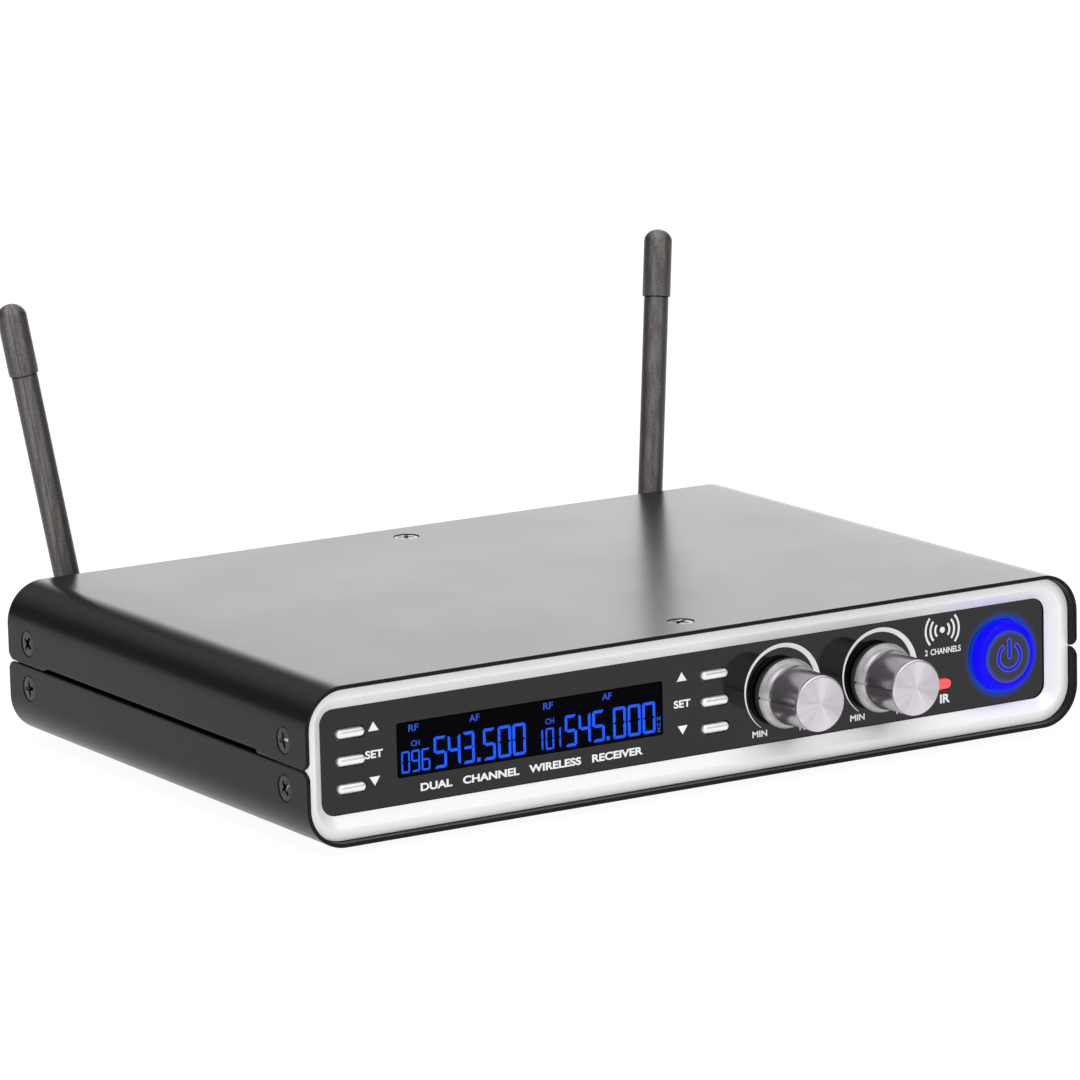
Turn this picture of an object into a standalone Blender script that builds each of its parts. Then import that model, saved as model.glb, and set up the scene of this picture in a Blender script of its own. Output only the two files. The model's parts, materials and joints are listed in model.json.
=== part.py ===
"""Half-rack dual wireless receiver: a bent-steel case with a moulded front frame,
a gloss front panel with its controls, a rear panel with its sockets, two folding
antennas and the electronics inside.

Lengths are in metres. X runs to the right, Y to the rear and Z up. The pieces are
laid out from the middle of the case's underside, and the last step moves the whole
receiver so that the middle of the bottom of its box is at the origin.
"""
import math

import bmesh
import bpy
from mathutils import Matrix, Vector

MM = 0.001
GAP = 0.3 * MM

# Case
WIDTH = 216.6 * MM
DEPTH = 150.2 * MM
HEIGHT = 38.0 * MM
CASE_RADIUS = 10.0 * MM
SHEET = 1.0 * MM
MID_Z = HEIGHT / 2
FRONT_Y = -DEPTH / 2
REAR_Y = DEPTH / 2
SEAM = 0.15 * MM
SEAM_CORNER = 2.6 * MM
SLOT_RISE = 0.85 * MM
SLOT_FRONT = FRONT_Y + 23.2 * MM
SLOT_REAR = REAR_Y - 18.6 * MM

# Frames that hold the two shells
FRAME_WIDTH = WIDTH - 2 * (SHEET + GAP)
FRAME_HEIGHT = HEIGHT - 2 * (SHEET + GAP)
FRAME_RADIUS = CASE_RADIUS - SHEET - GAP
FRAME_DEPTH = 13.5 * MM
CREST_DEPTH = 2.5 * MM
CREST_WIDTH = 2.35 * MM
LIP_INSET = 5.2 * MM
LIP_DEPTH = 5.15 * MM
SEAT_INSET = 3.4 * MM

# Front panel
PANEL_Y = FRONT_Y + LIP_DEPTH + GAP
PANEL_THICK = 2.0 * MM
PANEL_BACK = PANEL_Y + PANEL_THICK
BOARD_Y = PANEL_BACK + 6.7 * MM
BOARD_THICK = 1.6 * MM

# Keys
KEY_COLUMNS = {"left": -93.8 * MM, "right": 5.65 * MM}
KEY_ROWS = {"up": 25.35 * MM, "set": 18.85 * MM, "down": 12.35 * MM}
KEY_WIDTH = 7.5 * MM
KEY_HEIGHT = 2.2 * MM
KEY_PROUD = 1.0 * MM
KEY_SLACK = 0.4 * MM
SWITCH_DEPTH = 3.5 * MM

# Display
DISPLAY_X = -45.15 * MM
DISPLAY_Z = 19.2 * MM
DISPLAY_WIDTH = 72.0 * MM
DISPLAY_HEIGHT = 12.4 * MM

# Volume controls
KNOB_X = {"a": 25.15 * MM, "b": 52.75 * MM}
KNOB_Z = 18.35 * MM
KNOB_LENGTH = 16.3 * MM
SHAFT_RADIUS = 3.0 * MM

# Power button and infrared window
POWER_X = 89.35 * MM
POWER_Z = 18.65 * MM
POWER_RADIUS = 8.5 * MM
IR_X = 71.7 * MM
IR_Z = 13.7 * MM

# Screws
SCREW_HEAD = 3.1 * MM
SCREW_SHANK = 1.5 * MM
SCREW_LENGTH = 6.0 * MM
SIDE_SCREW_END = 10.6 * MM
SIDE_SCREW_RISE = 5.63 * MM
TOP_SCREW_END = 10.75 * MM

# Rear panel and antennas
REAR_FACE = REAR_Y - CREST_DEPTH
REAR_THICK = 1.2 * MM
XLR_X = {"a": -48.0 * MM, "b": -16.0 * MM}
JACK_X = 14.0 * MM
INLET_X = 44.0 * MM
ANTENNA_X = 84.3 * MM
ANTENNA_Y = REAR_Y + 7.7 * MM
ANTENNA_LENGTH = 87.0 * MM
ANTENNA_RADIUS = 3.25 * MM
ANTENNA_NECK = 2.85 * MM
CAP_LENGTH = 18.0 * MM
CAP_RADIUS = 3.72 * MM
ANTENNA_POSE = {"left": (-1, 8.1, 5.2), "right": (1, 10.05, 10.2)}

# Inside the case
MAIN_BOARD_SIZE = (196.0 * MM, 108.0 * MM, 1.6 * MM)
MAIN_BOARD_Z = 6.5 * MM
FOOT_RADIUS = 5.0 * MM
FOOT_HEIGHT = 2.0 * MM

# Turns that point a piece's own +Z the named way
FACE_FRONT = (math.radians(90), 0, 0)
FACE_REAR = (math.radians(-90), 0, 0)
FACE_LEFT = (0, math.radians(-90), 0)
FACE_RIGHT = (0, math.radians(90), 0)
FACE_UP = (0, 0, 0)

FINISHES = {
    "black_paint": ((0.030, 0.030, 0.032), 0.42, 0.0),
    "frame_silver": ((0.78, 0.78, 0.80), 0.38, 0.0),
    "gloss_black": ((0.018, 0.018, 0.020), 0.10, 0.0),
    "display_glass": ((0.004, 0.004, 0.006), 0.08, 0.0),
    "key_white": ((0.80, 0.80, 0.82), 0.30, 0.0),
    "knob_metal": ((0.62, 0.59, 0.62), 0.28, 1.0),
    "black_plastic": ((0.025, 0.025, 0.027), 0.50, 0.0),
    "steel": ((0.55, 0.55, 0.56), 0.35, 1.0),
    "power_blue": ((0.02, 0.02, 0.85), 0.20, 0.0),
    "ir_red": ((0.85, 0.06, 0.05), 0.25, 0.0),
    "screw_black": ((0.020, 0.020, 0.022), 0.35, 0.0),
    "antenna_grey": ((0.120, 0.110, 0.108), 0.45, 0.0),
    "board_green": ((0.02, 0.16, 0.07), 0.45, 0.0),
    "foot_rubber": ((0.018, 0.018, 0.018), 0.85, 0.0),
}


# ---------------------------------------------------------------- building blocks

def clear_objects():
    """Remove whatever objects the file opened with."""
    for item in list(bpy.data.objects):
        bpy.data.objects.remove(item)


def make_collection(name):
    """Add one collection to the scene."""
    group = bpy.data.collections.new(name)
    bpy.context.scene.collection.children.link(group)
    return group


def make_finishes():
    """One Principled material for each finish."""
    finishes = {}
    for name, (colour, roughness, metallic) in FINISHES.items():
        paint = bpy.data.materials.new(name)
        paint.use_nodes = True
        shader = paint.node_tree.nodes["Principled BSDF"]
        shader.inputs["Base Color"].default_value = (*colour, 1)
        shader.inputs["Roughness"].default_value = roughness
        shader.inputs["Metallic"].default_value = metallic
        finishes[name] = paint
    return finishes


def finish_mesh(bm, name):
    """Turn a bmesh into mesh data with faces pointing out and soft round sides."""
    bmesh.ops.recalc_face_normals(bm, faces=bm.faces)
    mesh = bpy.data.meshes.new(name)
    bm.to_mesh(mesh)
    bm.free()
    mesh.shade_smooth()
    mesh.set_sharp_from_angle(angle=math.radians(35))
    return mesh


def place_part(name, mesh, finish, at=(0, 0, 0), turn=FACE_UP, parent=None):
    """Add one piece of the receiver."""
    part = bpy.data.objects.new(name, mesh)
    if not mesh.materials:
        mesh.materials.append(paints[finish])
    part.location = at
    part.rotation_euler = turn
    part.parent = parent or receiver
    parts.objects.link(part)
    return part


def place_cutter(name, mesh, at=(0, 0, 0), turn=FACE_UP, parent=None):
    """Add one shape that only cuts or joins."""
    cutter = bpy.data.objects.new(name, mesh)
    cutter.location = at
    cutter.rotation_euler = turn
    cutter.parent = parent or receiver
    cutter.hide_render = True
    cutter.display_type = "WIRE"
    cutters.objects.link(cutter)
    return cutter


def combine(part, tool, operation="DIFFERENCE"):
    """Cut, join or trim one piece with a tool shape."""
    step = part.modifiers.new(operation.lower(), "BOOLEAN")
    step.operation = operation
    step.solver = "EXACT"
    step.object = tool


def block(size, radius=0.0, along=None, steps=4):
    """A box about its own middle; its edges along one axis can be rounded."""
    bm = bmesh.new()
    bmesh.ops.create_cube(bm, size=1.0, matrix=Matrix.Diagonal((*size, 1)))
    if radius:
        axis = Vector([1.0 if letter == along else 0.0 for letter in "XYZ"])
        edges = []
        for edge in bm.edges:
            run = (edge.verts[1].co - edge.verts[0].co).normalized()
            if along is None or abs(run.dot(axis)) > 0.9:
                edges.append(edge)
        bmesh.ops.bevel(bm, geom=edges, offset=radius, segments=steps, profile=0.5, affect="EDGES")
    return finish_mesh(bm, "block")


def round_bar(radius, length, sides=24, end_radius=None):
    """A cylinder, or a cone whose +Z end has its own radius, about its own middle."""
    bm = bmesh.new()
    top = radius if end_radius is None else end_radius
    bmesh.ops.create_cone(bm, cap_ends=True, segments=sides, radius1=radius, radius2=top, depth=length)
    return finish_mesh(bm, "round_bar")


def several(mesh, offsets):
    """The same shape at several places, as one mesh."""
    bm = bmesh.new()
    for offset in offsets:
        first = len(bm.verts)
        bm.from_mesh(mesh)
        bm.verts.ensure_lookup_table()
        bmesh.ops.translate(bm, verts=bm.verts[first:], vec=offset)
    return finish_mesh(bm, "several")


def turned(name, profile, finish, at, turn, steps=32, closed=False, parent=None):
    """A turned piece: (radius, height) points down its outer side, spun about +Z."""
    mesh = bpy.data.meshes.new(name)
    points = [(radius, 0, height) for radius, height in profile]
    edges = [(i, i + 1) for i in range(len(points) - 1)]
    if closed:
        edges.append((len(points) - 1, 0))
    mesh.from_pydata(points, edges, [])
    part = place_part(name, mesh, finish, at, turn, parent)
    spin = part.modifiers.new("spin", "SCREW")
    spin.axis = "Z"
    spin.angle = math.tau
    spin.steps = steps
    spin.render_steps = steps
    spin.use_merge_vertices = True
    spin.merge_threshold = 0.00001
    return part


def arc(centre, radius, start, end, steps):
    """Points along a circular arc, in degrees, ends included."""
    points = []
    for step in range(steps + 1):
        angle = math.radians(start + (end - start) * step / steps)
        points.append((centre[0] + radius * math.cos(angle), centre[1] + radius * math.sin(angle)))
    return points


def outline_solid(name, points, thickness):
    """A flat outline in XY, filled and given a thickness along Z, as a closed mesh."""
    curve = bpy.data.curves.new(name, "CURVE")
    curve.dimensions = "2D"
    curve.fill_mode = "BOTH"
    curve.extrude = thickness / 2
    spline = curve.splines.new("POLY")
    spline.points.add(len(points) - 1)
    for slot, (x, y) in zip(spline.points, points):
        slot.co = (x, y, 0, 1)
    spline.use_cyclic_u = True
    holder = bpy.data.objects.new(name, curve)
    bpy.context.scene.collection.objects.link(holder)
    shape = holder.evaluated_get(bpy.context.evaluated_depsgraph_get())
    mesh = bpy.data.meshes.new_from_object(shape)
    bpy.data.objects.remove(holder)
    bm = bmesh.new()
    bm.from_mesh(mesh)
    bmesh.ops.remove_doubles(bm, verts=bm.verts, dist=0.000001)
    return finish_mesh(bm, name)


def rounded_outline(width, height, radius, steps):
    """A rounded rectangle about the origin, anticlockwise."""
    points = []
    for side_x, side_y, start in ((1, 1, 0), (-1, 1, 90), (-1, -1, 180), (1, -1, 270)):
        centre = (side_x * (width / 2 - radius), side_y * (height / 2 - radius))
        points += arc(centre, radius, start, start + 90, steps)
    return points


def framed(profile, width, height, radius, steps):
    """A closed profile of (inset, depth) points lofted round a rounded rectangle."""
    bm = bmesh.new()
    rings = []
    for inset, depth in profile:
        ring = rounded_outline(width - 2 * inset, height - 2 * inset, radius - inset, steps)
        rings.append([bm.verts.new((x, depth, z)) for x, z in ring])
    for index, ring in enumerate(rings):
        before = rings[index - 1]
        for i in range(len(ring)):
            bm.faces.new((before[i - 1], before[i], ring[i], ring[i - 1]))
    return finish_mesh(bm, "framed")


# ---------------------------------------------------------------- case

def seam_outline(rise):
    """Side view of one shell: rounded corners at the seam, and a relief of the given rise."""
    radius = SEAM_CORNER
    top = HEIGHT
    points = [(-DEPTH / 2, top)]
    points += arc((FRONT_Y + radius, SEAM + radius), radius, 180, 270, 5)
    if rise:
        points += [(SLOT_FRONT, SEAM), (SLOT_FRONT + rise, SEAM + rise)]
        points += [(SLOT_REAR - 3 * rise, SEAM + rise), (SLOT_REAR, SEAM)]
    points += arc((REAR_Y - radius, SEAM + radius), radius, 270, 360, 5)
    points += [(DEPTH / 2, top)]
    return points


def make_shell(name, turn, rise, top_screws):
    """A U-shaped shell of bent sheet, open towards the seam, about the case's middle."""
    half = WIDTH / 2
    rise_to_top = HEIGHT / 2
    path = [(half, -MM)]
    path += arc((half - CASE_RADIUS, rise_to_top - CASE_RADIUS), CASE_RADIUS, 0, 90, 9)
    path += arc((CASE_RADIUS - half, rise_to_top - CASE_RADIUS), CASE_RADIUS, 90, 180, 9)
    path.append((-half, -MM))
    bm = bmesh.new()
    verts = [bm.verts.new((x, -DEPTH / 2 - MM, z)) for x, z in path]
    edges = [bm.edges.new((verts[i], verts[i + 1])) for i in range(len(verts) - 1)]
    swept = bmesh.ops.extrude_edge_only(bm, edges=edges)
    moved = [item for item in swept["geom"] if isinstance(item, bmesh.types.BMVert)]
    bmesh.ops.translate(bm, verts=moved, vec=(0, DEPTH + 2 * MM, 0))
    mesh = finish_mesh(bm, name)
    right_side = max(mesh.polygons, key=lambda face: face.center.x)
    if right_side.normal.x < 0:
        mesh.flip_normals()
    shell = place_part(name, mesh, "black_paint", (0, 0, MID_Z), turn)
    sheet = shell.modifiers.new("sheet", "SOLIDIFY")
    sheet.thickness = SHEET
    sheet.offset = -1
    trim = outline_solid(name + "_side", seam_outline(rise), WIDTH + 10 * MM)
    side = Matrix(((0, 0, 1), (1, 0, 0), (0, 1, 0))).to_euler()
    combine(shell, place_cutter(name + "_trim", trim, parent=shell, turn=side), "INTERSECT")
    sink = round_bar(SCREW_HEAD + GAP + 1.1 * MM, 3 * MM, 20, SCREW_HEAD + GAP - 1.9 * MM)
    for sign, way in ((-1, FACE_RIGHT), (1, FACE_LEFT)):
        rows = [(0, 0, 0), (0, DEPTH - 2 * SIDE_SCREW_END, 0)]
        pair = several(sink, rows)
        start = (sign * (WIDTH / 2 - 0.4 * MM), FRONT_Y + SIDE_SCREW_END, SIDE_SCREW_RISE)
        combine(shell, place_cutter(name + "_side_holes", pair, start, way, shell))
    if top_screws:
        pair = several(sink, [(0, TOP_SCREW_END - DEPTH / 2, 0), (0, DEPTH / 2 - TOP_SCREW_END, 0)])
        over = (math.radians(180), 0, 0)
        start = (0, 0, HEIGHT / 2 - 0.4 * MM)
        combine(shell, place_cutter(name + "_top_holes", pair, start, over, shell))
    return shell


def make_screw_mesh():
    """A countersunk screw with its flat head at the origin and its shank down -Z."""
    cone = SCREW_HEAD - SCREW_SHANK
    head = round_bar(SCREW_SHANK, cone, 20, SCREW_HEAD)
    bm = bmesh.new()
    bm.from_mesh(head)
    bmesh.ops.translate(bm, verts=bm.verts, vec=(0, 0, -cone / 2))
    bottom = min(bm.faces, key=lambda face: face.calc_center_median().z)
    grown = bmesh.ops.extrude_face_region(bm, geom=[bottom])
    tip = [item for item in grown["geom"] if isinstance(item, bmesh.types.BMVert)]
    bmesh.ops.translate(bm, verts=tip, vec=(0, 0, cone - SCREW_LENGTH))
    bmesh.ops.delete(bm, geom=[bottom], context="FACES_ONLY")
    return finish_mesh(bm, "screw")


def make_screws():
    """Eight side screws and two on the top's centre line, each just below the paint."""
    shape = make_screw_mesh()
    sunk = 0.1 * MM
    spots = []
    for side, sign, turn in (("left", -1, FACE_LEFT), ("right", 1, FACE_RIGHT)):
        for end, y in (("front", FRONT_Y + SIDE_SCREW_END), ("rear", REAR_Y - SIDE_SCREW_END)):
            for level, z in (("high", MID_Z + SIDE_SCREW_RISE), ("low", MID_Z - SIDE_SCREW_RISE)):
                spot = (sign * (WIDTH / 2 - sunk), y, z)
                spots.append((f"screw_{side}_{end}_{level}", spot, turn))
    for end, y in (("front", FRONT_Y + TOP_SCREW_END), ("rear", REAR_Y - TOP_SCREW_END)):
        spots.append((f"screw_top_{end}", (0, y, HEIGHT - sunk), FACE_UP))
    blade = block((3.4 * MM, 0.7 * MM, 1.6 * MM))
    for name, spot, turn in spots:
        screw = place_part(name, shape, "screw_black", spot, turn)
        for angle in (0, 90):
            way = (0, 0, math.radians(angle))
            combine(screw, place_cutter("screw_cross", blade, (0, 0, 0), way, screw))


def screw_clearance(name, front):
    """Holes for the screws through the side and top walls of a frame, as one tool."""
    end = 1 if front else -1
    start = FRONT_Y if front else REAR_Y
    bm = bmesh.new()
    hole = round_bar(2.2 * MM, 7 * MM, 12)
    side_y = start + end * SIDE_SCREW_END
    for sign in (-1, 1):
        for rise in (-SIDE_SCREW_RISE, SIDE_SCREW_RISE):
            first = len(bm.verts)
            bm.from_mesh(hole)
            bm.verts.ensure_lookup_table()
            spot = Vector((sign * (WIDTH / 2 - 4 * MM), side_y, MID_Z + rise))
            across = Matrix.Rotation(math.radians(90), 4, "Y")
            bmesh.ops.transform(bm, matrix=Matrix.Translation(spot) @ across, verts=bm.verts[first:])
    first = len(bm.verts)
    bm.from_mesh(hole)
    bm.verts.ensure_lookup_table()
    spot = Vector((0, start + end * TOP_SCREW_END, HEIGHT - 4 * MM))
    bmesh.ops.translate(bm, verts=bm.verts[first:], vec=spot)
    return place_cutter(name, finish_mesh(bm, name))


def make_front_bezel():
    """Silver frame: a flat crest behind the shells' rim, then a 45 degree bevel to the panel."""
    profile = [
        (0, CREST_DEPTH + 0.4 * MM),
        (0.25 * MM, CREST_DEPTH + 0.1 * MM),
        (0.7 * MM, CREST_DEPTH),
        (CREST_WIDTH, CREST_DEPTH),
        (LIP_INSET, LIP_DEPTH),
        (SEAT_INSET, LIP_DEPTH),
        (SEAT_INSET, CREST_DEPTH + FRAME_DEPTH),
        (0, CREST_DEPTH + FRAME_DEPTH),
    ]
    mesh = framed(profile, FRAME_WIDTH, FRAME_HEIGHT, FRAME_RADIUS, 8)
    bezel = place_part("front_bezel", mesh, "frame_silver", (0, FRONT_Y, MID_Z))
    combine(bezel, screw_clearance("bezel_screw_holes", True))
    return bezel


def make_feet():
    """Four rubber feet under the lower shell."""
    count = 0
    for x in (-86 * MM, 86 * MM):
        for y in (-50 * MM, 50 * MM):
            count += 1
            top = -GAP
            profile = [(0, top), (FOOT_RADIUS, top), (FOOT_RADIUS, 0.5 * MM - FOOT_HEIGHT)]
            profile += [(FOOT_RADIUS - 0.5 * MM, -FOOT_HEIGHT), (0, -FOOT_HEIGHT)]
            turned(f"foot_{count}", profile, "foot_rubber", (x, y, 0), FACE_UP, 20)


# ---------------------------------------------------------------- front panel

def panel_hole(name, size, x, z, radius):
    """A rounded hole right through the front panel."""
    mesh = block((size[0], 3 * PANEL_THICK, size[1]), radius, "Y", 5)
    return place_cutter(name, mesh, (x, PANEL_Y + PANEL_THICK / 2, z))


def make_front_panel():
    """Gloss plate behind the frame's lip, with openings for the controls."""
    inset = SEAT_INSET + GAP
    size = (FRAME_WIDTH - 2 * inset, PANEL_THICK, FRAME_HEIGHT - 2 * inset)
    mesh = block(size, FRAME_RADIUS - inset, "Y", 6)
    panel = place_part("front_panel", mesh, "gloss_black", (0, PANEL_Y + PANEL_THICK / 2, MID_Z))
    hole = (KEY_WIDTH + 2 * KEY_SLACK, KEY_HEIGHT + 2 * KEY_SLACK)
    for column, x in KEY_COLUMNS.items():
        for row, z in KEY_ROWS.items():
            combine(panel, panel_hole(f"hole_{column}_{row}", hole, x, z, 0.498 * hole[1]))
    window = (DISPLAY_WIDTH + 2 * GAP, DISPLAY_HEIGHT + 2 * GAP)
    combine(panel, panel_hole("hole_display", window, DISPLAY_X, DISPLAY_Z, 0.6 * MM))
    combine(panel, panel_hole("hole_ir", (5.6 * MM, 3.0 * MM), IR_X, IR_Z, 1.49 * MM))
    for key, x in KNOB_X.items():
        cutter = round_bar(SHAFT_RADIUS + 0.7 * MM, 3 * PANEL_THICK, 20)
        combine(panel, place_cutter(f"hole_shaft_{key}", cutter, (x, PANEL_Y, KNOB_Z), FACE_FRONT))
    cutter = round_bar(POWER_RADIUS + 0.5 * MM, 3 * PANEL_THICK, 32)
    combine(panel, place_cutter("hole_power", cutter, (POWER_X, PANEL_Y, POWER_Z), FACE_FRONT))
    return panel


def make_display():
    """Smoked window set flush in the panel, and the display module behind it."""
    size = (DISPLAY_WIDTH, PANEL_THICK - 0.2 * MM, DISPLAY_HEIGHT)
    window = block(size, 0.5 * MM, "Y", 2)
    place_part("display_window", window, "display_glass", (DISPLAY_X, PANEL_Y + PANEL_THICK / 2, DISPLAY_Z))
    front = PANEL_BACK + GAP
    back = BOARD_Y - GAP
    size = (DISPLAY_WIDTH + 4 * MM, back - front, DISPLAY_HEIGHT + 3.6 * MM)
    place_part("display_module", block(size), "black_plastic", (DISPLAY_X, (front + back) / 2, DISPLAY_Z))


def make_keys():
    """Six pill-shaped keys, each with a retaining flange and a stem into its switch."""
    length = KEY_PROUD + PANEL_THICK + 0.6 * MM
    pill = block((KEY_WIDTH, length, KEY_HEIGHT), 0.498 * KEY_HEIGHT, "Y", 5)
    flange = block((KEY_WIDTH + 1.8 * MM, 0.9 * MM, KEY_HEIGHT + 1.6 * MM))
    stem = round_bar(1.3 * MM, 2.6 * MM, 12)
    for column, x in KEY_COLUMNS.items():
        for row, z in KEY_ROWS.items():
            origin = Vector((x, PANEL_Y, z))
            key = place_part(f"key_{column}_{row}", pill.copy(), "key_white", origin)
            key.data.transform(Matrix.Translation((0, length / 2 - KEY_PROUD, 0)))
            spot = (0, PANEL_THICK + 0.9 * MM, 0)
            combine(key, place_cutter("key_flange", flange, spot, FACE_UP, key), "UNION")
            spot = (0, PANEL_THICK + 1.9 * MM, 0)
            combine(key, place_cutter("key_stem", stem, spot, FACE_FRONT, key), "UNION")


def make_key_switches():
    """One strip of three push switches behind each column of keys."""
    front = BOARD_Y - GAP - SWITCH_DEPTH
    rows = list(KEY_ROWS.values())
    well = round_bar(1.8 * MM, 3.0 * MM, 12)
    for column, x in KEY_COLUMNS.items():
        size = (6.0 * MM, SWITCH_DEPTH, rows[0] - rows[2] + 6.0 * MM)
        mid = (x, front + SWITCH_DEPTH / 2, rows[1])
        strip = place_part(f"key_switches_{column}", block(size), "black_plastic", mid)
        spots = [(0, z - rows[1], 0) for z in rows]
        at = (x, front, rows[1])
        combine(strip, place_cutter("switch_wells", several(well, spots), at, FACE_FRONT))


def make_volume_controls():
    """Two knobs of spun metal over a black core, on the shafts of their potentiometers."""
    for key, x in KNOB_X.items():
        at = (x, PANEL_Y, KNOB_Z)
        skin = [(0, KNOB_LENGTH), (6.45 * MM, KNOB_LENGTH), (6.8 * MM, KNOB_LENGTH - 0.35 * MM)]
        skin += [(6.95 * MM, 9.5 * MM), (7.2 * MM, 5.3 * MM), (8.5 * MM, 2.4 * MM)]
        skin += [(5.9 * MM, 2.4 * MM), (5.9 * MM, 14.8 * MM), (0, 14.8 * MM)]
        knob = turned(f"volume_knob_{key}", skin, "knob_metal", at, FACE_FRONT, 36)
        line = block((3.0 * MM, 0.5 * MM, 13.2 * MM))
        spot = (-8.15 * MM, 0, 9.0 * MM)
        combine(knob, place_cutter(f"knob_line_{key}", line, spot, FACE_UP, knob))
        core = [(5.6 * MM, 14.5 * MM), (5.6 * MM, 2.1 * MM), (8.4 * MM, 2.1 * MM)]
        core += [(8.4 * MM, 0.4 * MM), (3.3 * MM, 0.4 * MM), (3.3 * MM, 14.5 * MM)]
        turned(f"knob_core_{key}", core, "black_plastic", at, FACE_FRONT, 24, closed=True)
        rear = -PANEL_THICK - 5.4 * MM
        rod = [(0, 13.5 * MM), (SHAFT_RADIUS, 13.5 * MM), (SHAFT_RADIUS, rear), (0, rear)]
        turned(f"pot_shaft_{key}", rod, "steel", at, FACE_FRONT, 16)
        front = PANEL_BACK + GAP
        back = BOARD_Y - GAP
        size = (16.5 * MM, back - front, 15.0 * MM)
        body = block(size, 1.5 * MM, "Y", 2)
        pot = place_part(f"volume_pot_{key}", body, "steel", (x, (front + back) / 2, KNOB_Z))
        well = round_bar(SHAFT_RADIUS + 0.3 * MM, 11.0 * MM, 16)
        combine(pot, place_cutter(f"pot_well_{key}", well, (x, front, KNOB_Z), FACE_FRONT))


def make_power_button():
    """Round lit button: a bevelled clear ring round a dark face, pressing its switch."""
    at = (POWER_X, PANEL_Y, POWER_Z)
    face_radius = 6.9 * MM
    ring = [(0, 2.2 * MM), (face_radius, 2.2 * MM), (face_radius, 3.0 * MM), (7.1 * MM, 3.0 * MM)]
    ring += [(8.1 * MM, 2.7 * MM), (POWER_RADIUS, 2.1 * MM), (POWER_RADIUS, -PANEL_THICK - 0.5 * MM)]
    ring += [(10.3 * MM, -PANEL_THICK - 0.5 * MM), (10.3 * MM, -PANEL_THICK - 1.5 * MM)]
    ring += [(7.6 * MM, -PANEL_THICK - 1.5 * MM), (7.6 * MM, 0.8 * MM), (2.0 * MM, 0.8 * MM)]
    ring += [(2.0 * MM, -PANEL_THICK - 2.6 * MM), (0, -PANEL_THICK - 2.6 * MM)]
    turned("power_button", ring, "power_blue", at, FACE_FRONT, 28)
    disc = [(0, 3.0 * MM), (face_radius - GAP, 3.0 * MM), (face_radius - GAP, 2.5 * MM), (0, 2.5 * MM)]
    turned("power_button_face", disc, "gloss_black", at, FACE_FRONT, 28)
    back = BOARD_Y - GAP
    depth = 4.2 * MM
    spot = (POWER_X, back - depth / 2, POWER_Z)
    switch = place_part("power_switch", block((8.0 * MM, depth, 8.0 * MM)), "black_plastic", spot)
    well = round_bar(2.5 * MM, 5.6 * MM, 16)
    combine(switch, place_cutter("power_well", well, (POWER_X, back - depth, POWER_Z), FACE_FRONT))


def make_ir_window():
    """Red window for the infrared link to the microphones."""
    lens = block((5.0 * MM, PANEL_THICK + 0.2 * MM, 2.4 * MM), 1.19 * MM, "Y", 5)
    place_part("ir_window", lens, "ir_red", (IR_X, PANEL_Y + PANEL_THICK / 2, IR_Z))


def make_control_board():
    """Board that carries the display, the keys and the two potentiometers."""
    size = (196.0 * MM, BOARD_THICK, 25.0 * MM)
    spot = (0, BOARD_Y + BOARD_THICK / 2, MID_Z)
    place_part("control_board", block(size), "board_green", spot)


# ---------------------------------------------------------------- rear panel

def make_rear_panel():
    """Steel pan recessed behind the shells' rim; its side walls take the screws."""
    depth = FRAME_DEPTH
    size = (FRAME_WIDTH, depth, FRAME_HEIGHT)
    mesh = block(size, FRAME_RADIUS, "Y", 7)
    pan = place_part("rear_panel", mesh, "black_paint", (0, REAR_FACE - depth / 2, MID_Z))
    wall = 1.6 * MM
    size = (FRAME_WIDTH - 2 * wall, depth, FRAME_HEIGHT - 2 * wall)
    pocket = block(size, FRAME_RADIUS - wall, "Y", 7)
    spot = (0, REAR_FACE - depth / 2 - REAR_THICK, MID_Z)
    combine(pan, place_cutter("rear_pocket", pocket, spot))
    combine(pan, screw_clearance("rear_screw_holes", False))
    holes = [(x, 10.2 * MM) for x in XLR_X.values()]
    holes += [(JACK_X, 6.1 * MM), (INLET_X, 5.7 * MM), (-ANTENNA_X, 4.5 * MM), (ANTENNA_X, 4.5 * MM)]
    for x, radius in holes:
        cutter = round_bar(radius, 5 * REAR_THICK, 24)
        combine(pan, place_cutter("rear_hole", cutter, (x, REAR_FACE, MID_Z), FACE_REAR))
    return pan


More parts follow.
